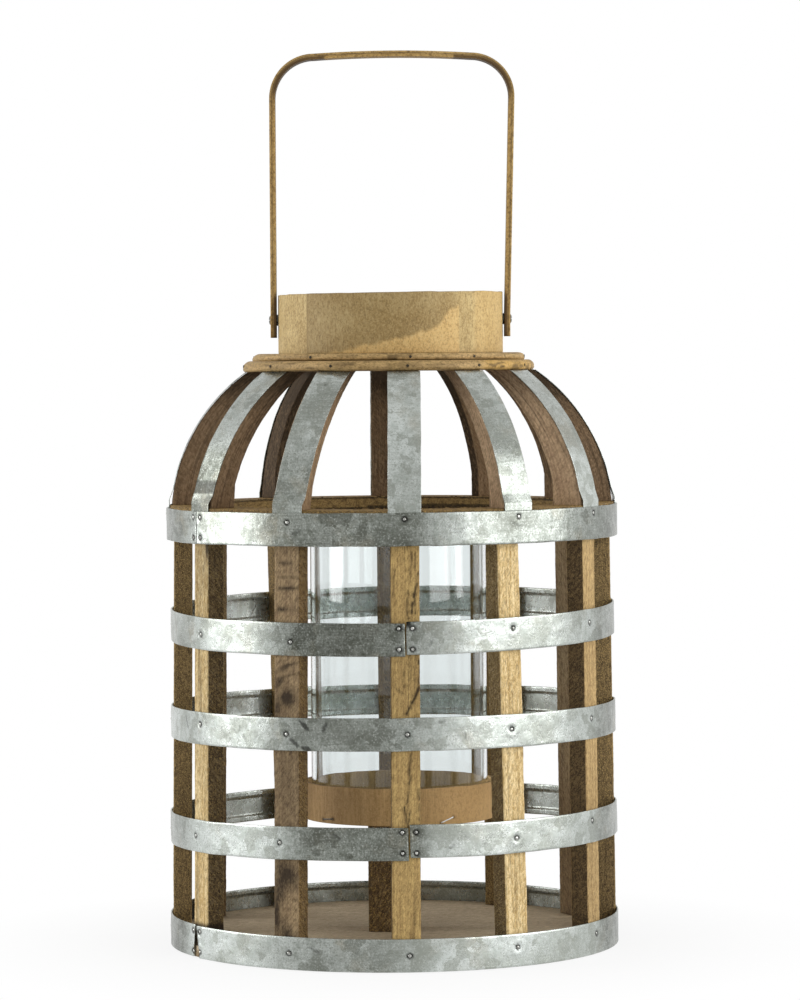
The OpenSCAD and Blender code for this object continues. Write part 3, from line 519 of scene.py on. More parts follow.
# Knots and stains of the post at the front left: height, place across, half height, half width,
# slant in millimetres down for each across, and darkness
POST_STAINS = [
    (274, -1, 1.6, 8, 0, 0.55), (264.6, 0, 0.9, 14, 0, 0.5), (257, -2, 1.4, 7, -0.05, 0.85),
    (257, 6, 0.9, 6, 0, 0.5), (242.8, -5, 1.8, 5.5, 0, 0.8), (242.5, 3, 1.4, 5, 0, 0.35),
    (203.5, -1.5, 2, 4.5, -0.5, 0.75), (206.2, 5, 1, 5, -0.2, 0.6), (198.6, 3, 0.9, 7, -0.28, 0.6),
    (193.8, -5.5, 3.4, 3.2, -0.6, 0.75), (183.2, 0.8, 6.2, 6, 0, 1.0), (175.5, -7.5, 6, 3, 0, 0.65),
    (64, 1, 9, 10, 0.3, 0.85), (52, -4, 9, 4, 0, 0.6), (19, 3, 9, 9, 1.2, 0.9),
    (38, -8, 16, 2.5, 0, 0.8), (130, 0, 50, 12, 0, 0.38),
]
# Cracks of the front post: across and height at both ends, half width and darkness
FRONT_CRACKS = [
    (2.4, 256, 1.8, 237, 0.7, 0.8), (9.1, 268, 4.6, 241, 1.0, 0.95), (4.0, 283, 3.2, 262, 0.6, 0.7),
    (6.6, 281, 6.3, 270, 0.6, 0.7), (-7.0, 270, -8.0, 252, 0.6, 0.6),
    (7.4, 262, 7.0, 240, 0.6, 0.7), (9.3, 210, 9.1, 194, 0.7, 0.9),
    (8.8, 191, 4.7, 181, 1.1, 0.95), (4.7, 181, 0.2, 173, 0.9, 0.85),
    (-1.7, 208, -1.3, 190, 0.6, 0.6), (-8.4, 192, -1.2, 186, 0.9, 0.4),
    (3.4, 147, 2.2, 133, 0.8, 0.75), (2.2, 133, 2.6, 122, 0.8, 0.85),
    (2.6, 122, 0.2, 113, 0.8, 0.75), (-0.7, 111, -0.4, 104, 0.8, 0.9),
    (-0.4, 104, 1.8, 98, 0.9, 0.9), (1.8, 112, 2.2, 101, 0.6, 0.8),
    (8.9, 123, 8.7, 116, 0.8, 0.8), (9.0, 113, 8.8, 102, 0.7, 0.7),
]


def crack_shade(x, z):
    """How dark the front post's cracks make a place: a bell curve of its distance from each
    crack's line, and the darkest of them."""
    shade = np.zeros(x.shape)
    for x0, z0, x1, z1, width, dark in FRONT_CRACKS:
        dx, dz = x1 - x0, z1 - z0
        t = np.clip(((x - x0) * dx + (z - z0) * dz) / (dx * dx + dz * dz), 0, 1)
        apart = np.hypot(x - x0 - t * dx, z - z0 - t * dz)
        shade = np.maximum(shade, dark * bell(apart, width))
    return shade


def post_share(z):
    """How far up the posts a height lies, from 0 at their feet to 1 at their tops."""
    return (z - BASE_TOP) / (POST_TOP - BASE_TOP)


def face_inside(r, across, twist):
    """How far from the middle a twisted post's face lies, to stay inside a radius."""
    t = math.radians(twist)
    return (math.sqrt(r * r - (across + POST_W / 2 * math.cos(t)) ** 2)
            - POST_W / 2 * math.sin(abs(t)))


def wood_grid(section, normals, heights, seed, worn=0.55):
    """A straight sawn stick: the section repeated at each height, its corners worn back by a
    random share of `worn`, and its faces lifted by saw ripple of a tenth of a millimetre."""
    rows = np.broadcast_to(section, (len(heights), *section.shape)).copy()
    z = np.broadcast_to(heights[:, None], rows.shape[:2])
    place = np.stack([rows[..., 0], rows[..., 1], z], -1)
    chip = np.clip(rough(place * [1, 1, 0.5], 2.4, seed) + 0.25, 0, 1) * worn
    chip = chip + 1.5 * worn * np.clip(rough(place * [1, 1, 0.2], 3.5, seed + 3) - 0.45, 0, 1)
    ripple = (0.09 * rough(place * [0.6, 0.6, 1.2], 1.6, seed + 1)
              + 0.12 * rough(place * [0.5, 0.5, 0.1], 2.5, seed + 2))
    push = ripple - corner_share(normals) * chip - 0.1
    return rows + normals * push[..., None], place


POST_ROWS = 260


def post_looks(i, place, normals):
    """How rubbed, split and dark each point of a post is. The front and side faces differ, and
    some posts have marks of their own; the one at the front left has a painted shadow at its foot."""
    x, z = place[..., 0], place[..., 2]
    front, side = np.clip(-normals[:, 1], 0, 1), np.abs(normals[:, 0])
    inner = np.clip(normals[:, 1], 0, 1)
    rubbed = front + (0.8 if i == 4 else 0.42) * inner + 0.35 * corner_share(normals)
    crack = POST_CRACK[i] * front * (1.0 if i else smooth_step(-6, 3, x))
    dirt_and_painted_shade = 0.3 * smooth_step(BASE_TOP + 6, BASE_TOP, z)
    if i == 0:
        dirt_and_painted_shade = dirt_and_painted_shade + 0.16 * front * bell(z - 200, 60)
        wander = 0.7 * rough(place * [0, 0, 1], 5, 12)
        broken = smooth_step(-0.75, 0.1, rough(place * [1, 0, 1], 2.6, 13))
        dirt_and_painted_shade = dirt_and_painted_shade + 1.2 * front * crack_shade(x + wander, z) * (0.3 + 0.7 * broken)
    if i == 1:
        rubbed = rubbed + 0.32 * side + 0.1 * (z > 150)
    if i == 2:
        dirt_and_painted_shade = dirt_and_painted_shade + 0.06 * front + 0.1 * front * (z < 100)
    if i == 3:
        dirt_and_painted_shade = dirt_and_painted_shade + 0.3 * smooth_step(110, 70, z)
        rubbed = rubbed + 0.12 + 0.08 * (z > 110)
    if i == 10:
        # Painted shadow below 26 mm, which shows through the gap of the bottom hoop's seam; the
        # sides are darker as well.
        dirt_and_painted_shade = dirt_and_painted_shade + smooth_step(26, 22, z) + 0.28 * side
        dirt_and_painted_shade = dirt_and_painted_shade + 0.9 * front * smooth_step(270, 285, z) * (x > 6.5)
        dirt_and_painted_shade = dirt_and_painted_shade + front * (0.3 * smooth_step(225, 260, z) + 0.14 * smooth_step(90, 130, z))
    if i == 11:
        for up, across, tall, wide, slant, dark in POST_STAINS:
            drop = z - up + slant * (x - across)
            dirt_and_painted_shade = dirt_and_painted_shade + 1.2 * dark * front * bell(drop, tall) * bell(x - across, wide)
        dirt_and_painted_shade = np.where((x < -7.6) & (z > 230), 0, dirt_and_painted_shade) + 0.05 * front
    return {"rubbed": rubbed, "crack": crack, "dirt_and_painted_shade": dirt_and_painted_shade}


def make_posts():
    """Each post leans and is twisted as its CAD node is, and its ends lie flat on the base and
    under the ring."""
    section, normals = rounded_box(-POST_W / 2, POST_W / 2, 0, POST_D, 0.9, 1.1)
    heights = np.linspace(BASE_TOP, POST_TOP, POST_ROWS)
    share = post_share(heights)[:, None]
    for i in range(COUNT):
        foot = face_inside(BASE_R, 0, POST_TWIST[i])
        top = face_inside(BASE_R - TAPER, abs(POST_LEAN[i]), POST_TWIST[i])
        grid, place = wood_grid(section, normals, heights, 11 + 7 * i)
        points = turn_about(np.concatenate([grid, place[..., 2:]], -1), POST_TWIST[i])
        points[..., 0] += POST_LEAN[i] * share
        points[..., 1] += -(foot + (top - foot) * share)
        name = "post_%02d" % (i + 1)
        piece = make_piece(
            name + "_wood", turn_about(points, POST_AT[i]), POST_WOODS[POST_LOOK[i]],
            attributes={"grain": place + [37.0 * i, 11.0 * i, 53.0 * i],
                        **post_looks(i, place, normals)})
        stand_for(name)


# ---- Ribs and straps ----


def up_the_rib(across, level, i, share=1.0):
    """How high a point lies on an upright rib, when the lean brings it to a level."""
    lean = np.radians(RIB_LEAN[i]) * share
    return RING_TOP + (level - RING_TOP + across * np.sin(lean)) / np.cos(lean)


def at_rib(points, i, share=1.0):
    """Points in an upright rib's own frame, whose origin is the strap's foot, given a share of
    the rib's lean and twist and placed on the cage."""
    lean = np.radians(RIB_LEAN[i]) * share
    across, into, up = points[..., 0], points[..., 1], points[..., 2] - RING_TOP
    leant = np.stack([across * np.cos(lean) + up * np.sin(lean), into,
                      RING_TOP + up * np.cos(lean) - across * np.sin(lean)], -1)
    placed = turn_about(leant, RIB_TWIST[i] * share) + [0, -DOME_FOOT[0], 0]
    return turn_about(placed, RIB_AT[i])


# How much darker some ribs are: by their stain, and on the ribs round the back and at the far right
# by painted shade; and which ribs are of the paler wood
RIB_STAIN_AND_SHADE = {2: 0.1, 3: 0.6, 4: 0.5, 6: 0.5, 7: 1.0, 8: 0.5, 9: 0.4, 10: 0.38, 11: 0.12}
PALE_RIBS = (1, 2)
RIB_ROWS = 130


def make_ribs():
    """Each level slice of a rib is a rectangle. Its outer side follows the dome's curve, and its
    inner side the same curve moved inwards, which runs straight down at the foot."""
    heights = np.linspace(RING_TOP, RIM_Z, RIB_ROWS)
    for i in range(COUNT):
        depth = RIB_D + RIB_DEEPER[i]
        section, normals = rounded_box(-RIB_W / 2, RIB_W / 2, 0, depth, 0.8, 1.2)
        grid, place = wood_grid(section, normals, heights, 211 + 5 * i, worn=0.3)
        up = up_the_rib(grid[..., 0] + RIB_SLIP[i], place[..., 2], i)
        outer = DOME_FOOT[0] - dome_at(RIB_R, up)
        inner = np.maximum(outer, RIB_FOOT_EXTRA) + depth
        into = grid[..., 1] / depth * (inner - outer - 0.16) + 0.08
        points = np.stack([grid[..., 0] + RIB_SLIP[i], outer + into, up], -1)
        grain = np.stack([place[..., 0], into, place[..., 2] * 1.15], -1)
        across, back = place[..., 0], normals[:, 1] > 0.5
        rubbed = (1.05 if i in PALE_RIBS else 0.75) + 0.3 * rough(place + 50 * i, 25, 5)
        # Darker towards the top, under the rim rings.
        dirt_and_painted_shade = 0.65 * smooth_step(RIM_Z - 32, RIM_Z - 4, up)
        if i == 5:
            dirt_and_painted_shade = dirt_and_painted_shade + back * smooth_step(RIB_W / 2 - 7.0, RIB_W / 2 - 5.5, across)
            rubbed = rubbed + 0.6 * back
        # The rib at the far right darkens towards its right edge: painted shade where it turns
        # away.
        if i == 3:
            dirt_and_painted_shade = dirt_and_painted_shade + 0.45 * smooth_step(0, 9, across)
        dirt_and_painted_shade = dirt_and_painted_shade + RIB_STAIN_AND_SHADE.get(i, 0.0)
        name = "rib_%02d" % (i + 1)
        wood = PALE_RIB_WOOD if i in PALE_RIBS else RIB_WOOD
        piece = make_piece(name + "_wood", at_rib(points, i), wood, attributes={
            "grain": grain + [41.0 * i, 17.0 * i, 61.0 * i], "rubbed": rubbed, "dirt_and_painted_shade": dirt_and_painted_shade,
            "crack": 0.4})
        stand_for(name)


STRAP_TOP = RIM_Z - 0.14
STRAP_ROWS = 140


def strap_profile():
    """A strap's outer face as distances from the middle and heights: up the tab, along the
    slant, and round the dome's curve to just past the rim."""
    curve_z = np.linspace(KINK_Z, RIM_Z + 3, 124)
    curve_r = dome_at(STRAP_R, curve_z)
    join_z = KINK_Z - (TAB_R - curve_r[0]) / SLOPE
    return (np.concatenate([[TAB_R, TAB_R], curve_r]),
            np.concatenate([[TAB_FOOT_Z, join_z], curve_z]))


def strap_line():
    """Even steps along the outer face up to the rim: distances, heights and the way run."""
    profile_r, profile_z = strap_profile()
    run = np.concatenate([[0], np.cumsum(np.hypot(np.diff(profile_r), np.diff(profile_z)))])
    s = np.linspace(0, np.interp(STRAP_TOP, profile_z, run), STRAP_ROWS)
    return np.interp(s, run, profile_r), np.interp(s, run, profile_z), s


# The brightest painted sheen and freshness on outside faces; the straps' values and the hoops'
# painted reflection are shares of it
PAINTED_SHEEN_TOP = 0.8
# How little each strap has weathered, with painted reflection in it, and how much the painted
# reflection changes on the lower half of some
STRAP_SHEEN_AND_FRESHNESS = [0.62, 0.62, 0.62, 1, 0.6, 0.6, 0.6, 0.6, 0.6, 1, 0.5, 0.52]
STRAP_LOW_PAINTED_SHEEN = {1: -0.24, 2: 0.38, 10: -0.64, 11: -0.26}


def make_straps():
    """A thin strip carried along its line, with dents of a few tenths of a millimetre and
    slightly wavy edges. The twist and the lean fade out over the slant, so the foot lies flat,
    and the top is cut level."""
    profile_r, profile_z = strap_profile()
    line_r, line_z, run = strap_line()
    tangent = unit(np.stack([np.gradient(line_r, run), np.gradient(line_z, run)], 1))
    out = np.stack([tangent[:, 1], -tangent[:, 0]], 1)
    half = STRAP_W / 2
    section, _ = rounded_box(-half, half, -SHEET, 0, 0.2, 1.1)
    for i in range(COUNT):
        x = np.broadcast_to(section[:, 0], (len(run), len(section)))
        y = np.broadcast_to(section[:, 1], x.shape)
        place = np.stack([x, np.broadcast_to(run[:, None], x.shape), x * 0 + 31.0 * i], -1)
        free = smooth_step(RING_TOP + 1, RING_TOP + 12, line_z)[:, None]
        dent = free * (0.16 * rough(place, 9, 401) + 0.10 * rough(place, 22, 402))
        crumple = smooth_step(RIM_Z - 16, RIM_Z - 4, line_z)[:, None] * 0.25 * rough(place, 5, 403)
        edge = x + np.sign(x) * 0.12 * rough(place * [0, 1, 1], 6, 404) * (np.abs(x) > half - 1)
        offset = y + dent + np.abs(crumple)
        fade = smooth_step(0, 1, (line_z - (RING_TOP + 1)) / (KINK_Z - RING_TOP - 1))[:, None]
        level = np.minimum(line_z[:, None] + out[:, 1:] * offset, STRAP_TOP)
        higher = up_the_rib(edge, level, i, fade) - level
        r = np.interp(line_z[:, None] + higher, profile_z, profile_r) + out[:, :1] * offset
        local = np.stack([edge, DOME_FOOT[0] - r, level + higher], -1)
        points = at_rib(local, i, fade)
        up = np.broadcast_to(line_z[:, None], x.shape)
        # Painted reflection: the lower half of some straps is brighter or darker.
        painted_sheen_and_freshness = STRAP_SHEEN_AND_FRESHNESS[i] + STRAP_LOW_PAINTED_SHEEN.get(i, 0.0) * smooth_step(362, 340, up)
        dirt_and_painted_shade = 0.0
        # A painted highlight band near the top of the front strap.
        if i == 0:
            painted_sheen_and_freshness = painted_sheen_and_freshness + 0.2 * bell(up - 372, 16)
        # At the front left: a painted highlight on the tab, and a painted dark band at the kink.
        if i == 10:
            painted_sheen_and_freshness = painted_sheen_and_freshness + 0.3 * (up < KINK_Z)
            dirt_and_painted_shade = 0.7 * smooth_step(KINK_Z - 1, KINK_Z, up)
            dirt_and_painted_shade = dirt_and_painted_shade * smooth_step(KINK_Z + 10, KINK_Z + 7, up)
        name = "strap_%02d" % (i + 1)
        piece = make_piece(name + "_zinc", points, ZINC, attributes={
            "dirt_and_painted_shade": dirt_and_painted_shade, "painted_sheen_and_freshness": PAINTED_SHEEN_TOP * painted_sheen_and_freshness})
        stand_for(name)


# ---- Hoops ----


def hoop_section(r):
    """Once round a hoop's strip, cut across: up the outer face, over a rounded fold, down the
    hem, along the inner face, and back round the other hem and fold."""
    fold = HOOP_WALL / 2
    a = np.radians(np.linspace(0, 180, 7))
    outer = np.linspace(fold, HOOP_H - fold, 21)[1:-1]
    inner = np.linspace(HOOP_H - HEM, HEM, 8)
    hem = np.linspace(1.5, HEM, 4)
    level = np.concatenate([outer, HOOP_H - fold + fold * np.sin(a), HOOP_H - hem, inner,
                            hem[::-1], fold - fold * np.sin(a)])
    hem_r = np.full(len(hem), r - HOOP_WALL)
    far = np.concatenate([np.full(len(outer), r), r - fold + fold * np.cos(a), hem_r,
                          np.full(len(inner), r - SHEET), hem_r, r - fold - fold * np.cos(a)])
    return np.stack([far, level], 1)


def nail_places(h):
    """Angle and height above the hoop's middle line of each nail of hoop h."""
    places = []
    for i in range(COUNT):
        lean = POST_LEAN[i] * post_share(HOOP_MID[h])
        if i == SEAM_POST[h]:
            mid = SEAM_ACROSS[h] + lean
            places += [(POST_AT[i] + math.degrees((mid + s * SEAM_NAIL_ACROSS) / HOOP_R[h]),
                        u * SEAM_NAIL_UP) for s in (-1, 1) for u in (-1, 1)]
        elif h == 4:
            places.append((RIB_AT[i] + math.degrees(NAIL_ACROSS[h][i] / HOOP_R[h]), NAIL_UP[h][i]))
        else:
            places.append((POST_AT[i] + math.degrees((lean + NAIL_ACROSS[h][i]) / HOOP_R[h]),
                           NAIL_UP[h][i]))
    return places


def on_hoop(points, h):
    """Points about a hoop's middle, tilted as the hoop is and lifted to its height."""
    right, back = (math.radians(v) for v in HOOP_TILT[h])
    tilt = np.array(Matrix.Rotation(-right, 3, "Y") @ Matrix.Rotation(back, 3, "X"))
    return points @ tilt.T + [0, 0, HOOP_MID[h]]


# At each seam: the gap at the foot and at the top, how much higher the end on the right lies, and
# how far it stands out
SEAM_LOOK = [(9.5, 2.0, -0.6, 0.3), (1.3, 0.9, 2.2, 0.7), (1.8, 1.8, 0.5, 0.2),
             (0.9, 1.1, 1.2, 0.4), (0.9, 0.9, 0.3, 0.3)]
HOOP_STEPS = 820
# Painted reflection on each hoop, bright to the left and to the right of the front: how dull and
# how bright it is, where its left bright stretch ends, over how many degrees it fades, where its
# right one begins, and how that one fades
HOOP_PAINTED_SHEEN = [(0.34, 1.0, -32, 14, 2, 12), (0.05, 0.9, -27, 8, 8, 3), (0.18, 0.8, -31, 9, 6, 8),
              (0.0, 0.8, -31.5, 8, 7, 8), (0.08, 0.52, -32, 2.5, 9, 4)]
# And how bright the painted reflection is past the left and right ends of those stretches
END_PAINTED_SHEEN = [(0.1, 0.12), (0.44, 0.26), (0.85, 0.2), (0.6, 0.3), (0.2, 0.14)]


def painted_sheen_at(h, angle):
    """How bright a hoop is at an angle, from 0 to 1, as painted reflection over weathering: a
    painted highlight to the left and the right of the front, painted dull reflection between them
    and past their ends, and brighter bands round the back."""
    least, most, left, left_fade, right, right_fade = HOOP_PAINTED_SHEEN[h]
    a = half_turn(angle)
    if h == 4:
        most = most - 0.24 * smooth_step(22, 31, a)
    bright_left = smooth_step(-74, -60, a) * smooth_step(left + left_fade, left - left_fade, a)
    bright_right = (0.93 * smooth_step(right - right_fade, right + right_fade, a)
                    * smooth_step(72, 58, a))
    bright = np.maximum(bright_left, bright_right)
    around_back = (0.68 + 0.3 * np.sin(np.radians(5 * a))) * smooth_step(95, 125, np.abs(a))
    painted_sheen_and_freshness = least + (most - least) * bright
    painted_sheen_and_freshness = painted_sheen_and_freshness + (END_PAINTED_SHEEN[h][0] - painted_sheen_and_freshness) * smooth_step(-60, -70, a)
    painted_sheen_and_freshness = painted_sheen_and_freshness + (END_PAINTED_SHEEN[h][1] - painted_sheen_and_freshness) * smooth_step(60, 70, a)
    return np.maximum(painted_sheen_and_freshness, around_back)


# Scars on each hoop, where the zinc is rubbed dark: angle, height above its middle, turn in
# degrees, half length, half width and darkness
SCARS = [
    [(-20, 3, -30, 5, 1.1, 0.375)],
    [(14, -4, 30, 4, 1.0, 0.375), (-14, 5, -35, 4, 1.0, 0.45)],
    [(-22.4, 6, -42, 4.6, 1.7, 0.75), (-25.3, -5.5, -42, 4.6, 1.5, 0.675),
     (-22.0, -9.4, -15, 4, 1.6, 0.75), (-17.1, 4.8, 65, 4, 1.5, 0.675),
     (-41.7, 2.5, 70, 3, 1.0, 0.375), (-40.5, -3, -50, 2.6, 1.2, 0.3),
     (-65.5, 3, -65, 5, 0.8, 0.525), (12, 8, 20, 3, 1.0, 0.375), (18, -2, 80, 2, 1.0, 0.45)],
    [(9.5, -3, 60, 3, 0.9, 0.375)],
    [(-24, -2, 25, 4, 1.2, 0.375), (18, 1, 45, 5, 0.9, 0.375)],
]


def make_hoops():
    """A strip carried once round, with its two ends pulled down to the post by four nails. It
    waves by a fifth of a millimetre, and each nail has drawn in a dimple with a raised rim."""
    for h, node in enumerate(HOOPS):
        section = hoop_section(HOOP_R[h])
        at_seam = SEAM_ACROSS[h] + POST_LEAN[SEAM_POST[h]] * post_share(HOOP_MID[h])
        seam = POST_AT[SEAM_POST[h]] + math.degrees(at_seam / HOOP_R[h])
        share = np.linspace(0, 1, HOOP_STEPS)[:, None]
        bottom, top, step, stand = SEAM_LOOK[h]
        level = np.broadcast_to(section[:, 1] / HOOP_H, (HOOP_STEPS, len(section)))
        gap = np.degrees((bottom + (top - bottom) * level) / HOOP_R[h])
        angle = seam + gap / 2 + (360 - gap) * share
        from_seam = np.minimum(share, 1 - share) * 360
        r = np.broadcast_to(section[:, 0], level.shape)
        z = np.broadcast_to(section[:, 1], level.shape) - HOOP_H / 2
        place = around(angle, r, z)
        right = np.where(share < 0.5, 1.0, 0.0)
        z = z + (right - 0.5) * step * np.exp(-from_seam / 12)
        z = z + (0.24 * rough(place * [1, 1, 0.2], 16, 61 + h) if h else 0)
        r = r + 0.22 * rough(place * [1, 1, 0.7], 24, 71 + h) + 0.08 * rough(place, 6, 81 + h)
        r = r + (0.2 + right * stand) * np.exp(-from_seam / 1.6)
        dirt_and_painted_shade = np.zeros(r.shape)
        # Each nail sinks a dimple, and a dark ring round its head is painted shade in that dimple.
        for at, up in nail_places(h):
            near = np.hypot(np.radians(half_turn(angle - at)) * HOOP_R[h], z - up)
            r = r - 0.32 * bell(near, 2.2) + 0.14 * bell(near - 4.2, 1.8)
            dirt_and_painted_shade = np.maximum(dirt_and_painted_shade, smooth_step(2.6, 1.8, near))
        outside = section[:, 0] > HOOP_R[h] - 0.3
        dirt_and_painted_shade = dirt_and_painted_shade * outside
        if h == 3:
            crumple = bell(from_seam, 2.6) * smooth_step(0.66, 0.95, level)
            r = r + crumple * (0.3 + 0.5 * rough(place, 2.5, 95))
            dirt_and_painted_shade = np.maximum(dirt_and_painted_shade, crumple * (rough(place, 1.8, 96) > -0.1))
        for at, up, turn, long, wide, dark in SCARS[h]:
            c, s = math.cos(math.radians(turn)), math.sin(math.radians(turn))
            dx, dz = np.radians(half_turn(angle - at)) * HOOP_R[h], z - up
            near = np.hypot((dx * c + dz * s) / long, (dz * c - dx * s) / wide)
            near = near + 0.35 * rough(place, 1.8, 97)
            dirt_and_painted_shade = np.maximum(dirt_and_painted_shade, dark * smooth_step(1.2, 0.75, near) * outside)
        # Outside faces take the painted reflection; inside faces take a fixed brightness.
        painted_sheen_and_freshness = np.where(outside, PAINTED_SHEEN_TOP * painted_sheen_at(h, angle), 1.0 if h else 0.6)
        # On the upper hoop, painted shade darkens it where the painted reflection is dullest.
        if h == 3:
            dirt_and_painted_shade = np.maximum(dirt_and_painted_shade, 0.14 * outside * smooth_step(0.24, 0.0, painted_sheen_and_freshness))
        if h == 0:
            z = np.maximum(z, -HOOP_H / 2)
        piece = make_piece(node + "_zinc", on_hoop(around(angle, r, z), h), ZINC,
                           attributes={"dirt_and_painted_shade": dirt_and_painted_shade, "painted_sheen_and_freshness": painted_sheen_and_freshness})
        stand_for(node)


# ---- Nails, screws and staples ----


def nail_form(length, shank, head, dome):
    """Radius and height up a nail: its point, its shank, and a domed head above z = 0."""
    a = np.radians(np.linspace(90, 8, 6))
    r = [0.05, shank, shank, head * 0.96, head]
    z = [-length, -length + 1.5, -0.05, -0.02, 0.12]
    return np.concatenate([r, head * np.sin(a)]), np.concatenate([z, 0.12 + dome * np.cos(a)])


def make_nails(node, ends, form, material):
    """One mesh of many nails, each a turned form about the line from its first end outwards. The
    heads differ a little in size."""
    ends = np.array(ends)
    at = ends[:, 0]
    out = unit(ends[:, 1] - at)
    side = unit(np.cross(out, [0.3, 0.2, 1.0]))
    up = np.cross(out, side)
    r, z = nail_form(*form)
    ring = np.radians(np.arange(0, 360, 20))[:, None]
    spoke = np.cos(ring) * side[:, None, None] + np.sin(ring) * up[:, None, None]
    size = 1 + 0.08 * np.sin(2.4 * np.arange(len(at)))
    wide = r[None, :, None, None] * size[:, None, None, None]
    points = at[:, None, None] + z[:, None, None] * out[:, None, None] + wide * spoke
    index = np.arange(points[..., 0].size).reshape(points.shape[:-1])
    caps = [*index[:, 0, ::-1], *index[:, -1]]
    piece = build(node + "_heads", points, grid_quads(index), caps, material, {}, "cage")
    stand_for(node)


STRAP_NAIL_DROP = 9.0
# Degrees round each rim ring of its brads
LOWER_BRADS = [7.3 + 30 * i for i in range(COUNT)]
UPPER_BRADS = [9, 38, 84, 129, 174, 219, 264, 326]


def make_all_nails():
    """Nails with domed heads in the hoops, small ones let in flush in the straps, and brads."""
    hoop_nails = []
    for h in range(len(HOOPS)):
        for at, up in nail_places(h):
            line = around(at, np.array([HOOP_R[h] - 0.25, HOOP_R[h] + 1]), float(up))
            hoop_nails.append(on_hoop(line, h))
    make_nails("hoop_nails", hoop_nails, (8.0, 0.7, 1.15, 0.5), NAIL_STEEL)
    z = RIM_Z - STRAP_NAIL_DROP
    slope = math.asin((z - DOME_MID[1]) / STRAP_R)
    head = np.array([0.0, DOME_FOOT[0] - dome_at(STRAP_R - 0.3, z), z])
    line = np.stack([head, head + [0, -math.cos(slope), math.sin(slope)]])
    make_nails("strap_nails", [at_rib(line, i) for i in range(COUNT)], (5.0, 0.7, 1.3, 0.2), ZINC)
    rim_nails = []
    for angles, r, z in ((LOWER_BRADS, RIM_LOWER_R, (RIM_Z + UPPER_Z) / 2),
                         (UPPER_BRADS, RIM_UPPER_R, (UPPER_Z + COLLAR_Z) / 2)):
        rim_nails += [around(a, np.array([r, r + 1]), z) + [RIM_X, 0, 0] for a in angles]
    make_nails("rim_nails", rim_nails, (6.0, 0.6, 0.96, 0.2), DARK_STEEL)


# ---- Rings, bands, discs, staples and glass ----


def turned_ring(section, angles):
    """The angle, distance and height of each point of a closed ring, which repeats its section at
    each angle."""
    return np.broadcast_arrays(angles[:, None], section[:, 0], section[:, 1])


def make_shoulder_ring():
    """Sawn from plywood: its edges are left fuzzy by the saw, its plies step a little, and loose
    fibres stand up along the top edge of the hole."""
    section, normals = rounded_box(RING_HOLE_R, RING_R, POST_TOP, RING_TOP, 0.5, 1.1)
    a, r, z = turned_ring(section, np.arange(0, 360, 0.48))
    place = around(a, r, z)
    inner = np.clip(-normals[:, 0], 0, 1)
    plies = np.where((z - POST_TOP) % 3.0 < 1.5, 0.0, 0.2)
    fuzz = 0.4 * np.clip(rough(place * [1, 1, 0.6], 1.6, 91), 0, 1)
    r = r + inner * (plies + fuzz - 0.25)
    fibres = np.clip(rough(place, 1.3, 92) - 0.3, 0, 1)
    fibres = fibres * smooth_step(RING_HOLE_R + 2, RING_HOLE_R, r)
    z = z + 1.6 * fibres * smooth_step(RING_TOP - 1.5, RING_TOP, z)
    grain = np.stack([place[..., 0], z, place[..., 1]], -1)
    # Light bands along the plies of the hole's wall, which lie lower at the front
    drop = 2.2 * smooth_step(0.1, -0.2, np.sin(np.radians(a)))
    lower = z < 301.0 - 0.55 * drop
    upper = (z > 304.4 - drop) & (z < 308.0)
    rubbed = 0.42 * lower + 0.52 * upper + 0.55 * np.clip(normals[:, 1], 0, 1)
    specks = smooth_step(0.1, 0.5, rough(place * [1, 1, 1.5], 2.2, 93))
    dirt_and_painted_shade = smooth_step(0.5, 0.9, inner) * (0.8 - 0.65 * lower - 0.78 * upper + 0.35 * specks)
    piece = make_piece("shoulder_ring_wood", around(a, r, z), RING_WOOD, closed_path=True,
                       attributes={"grain": grain, "rubbed": rubbed, "dirt_and_painted_shade": dirt_and_painted_shade, "crack": 0.2})
    stand_for("shoulder_ring")


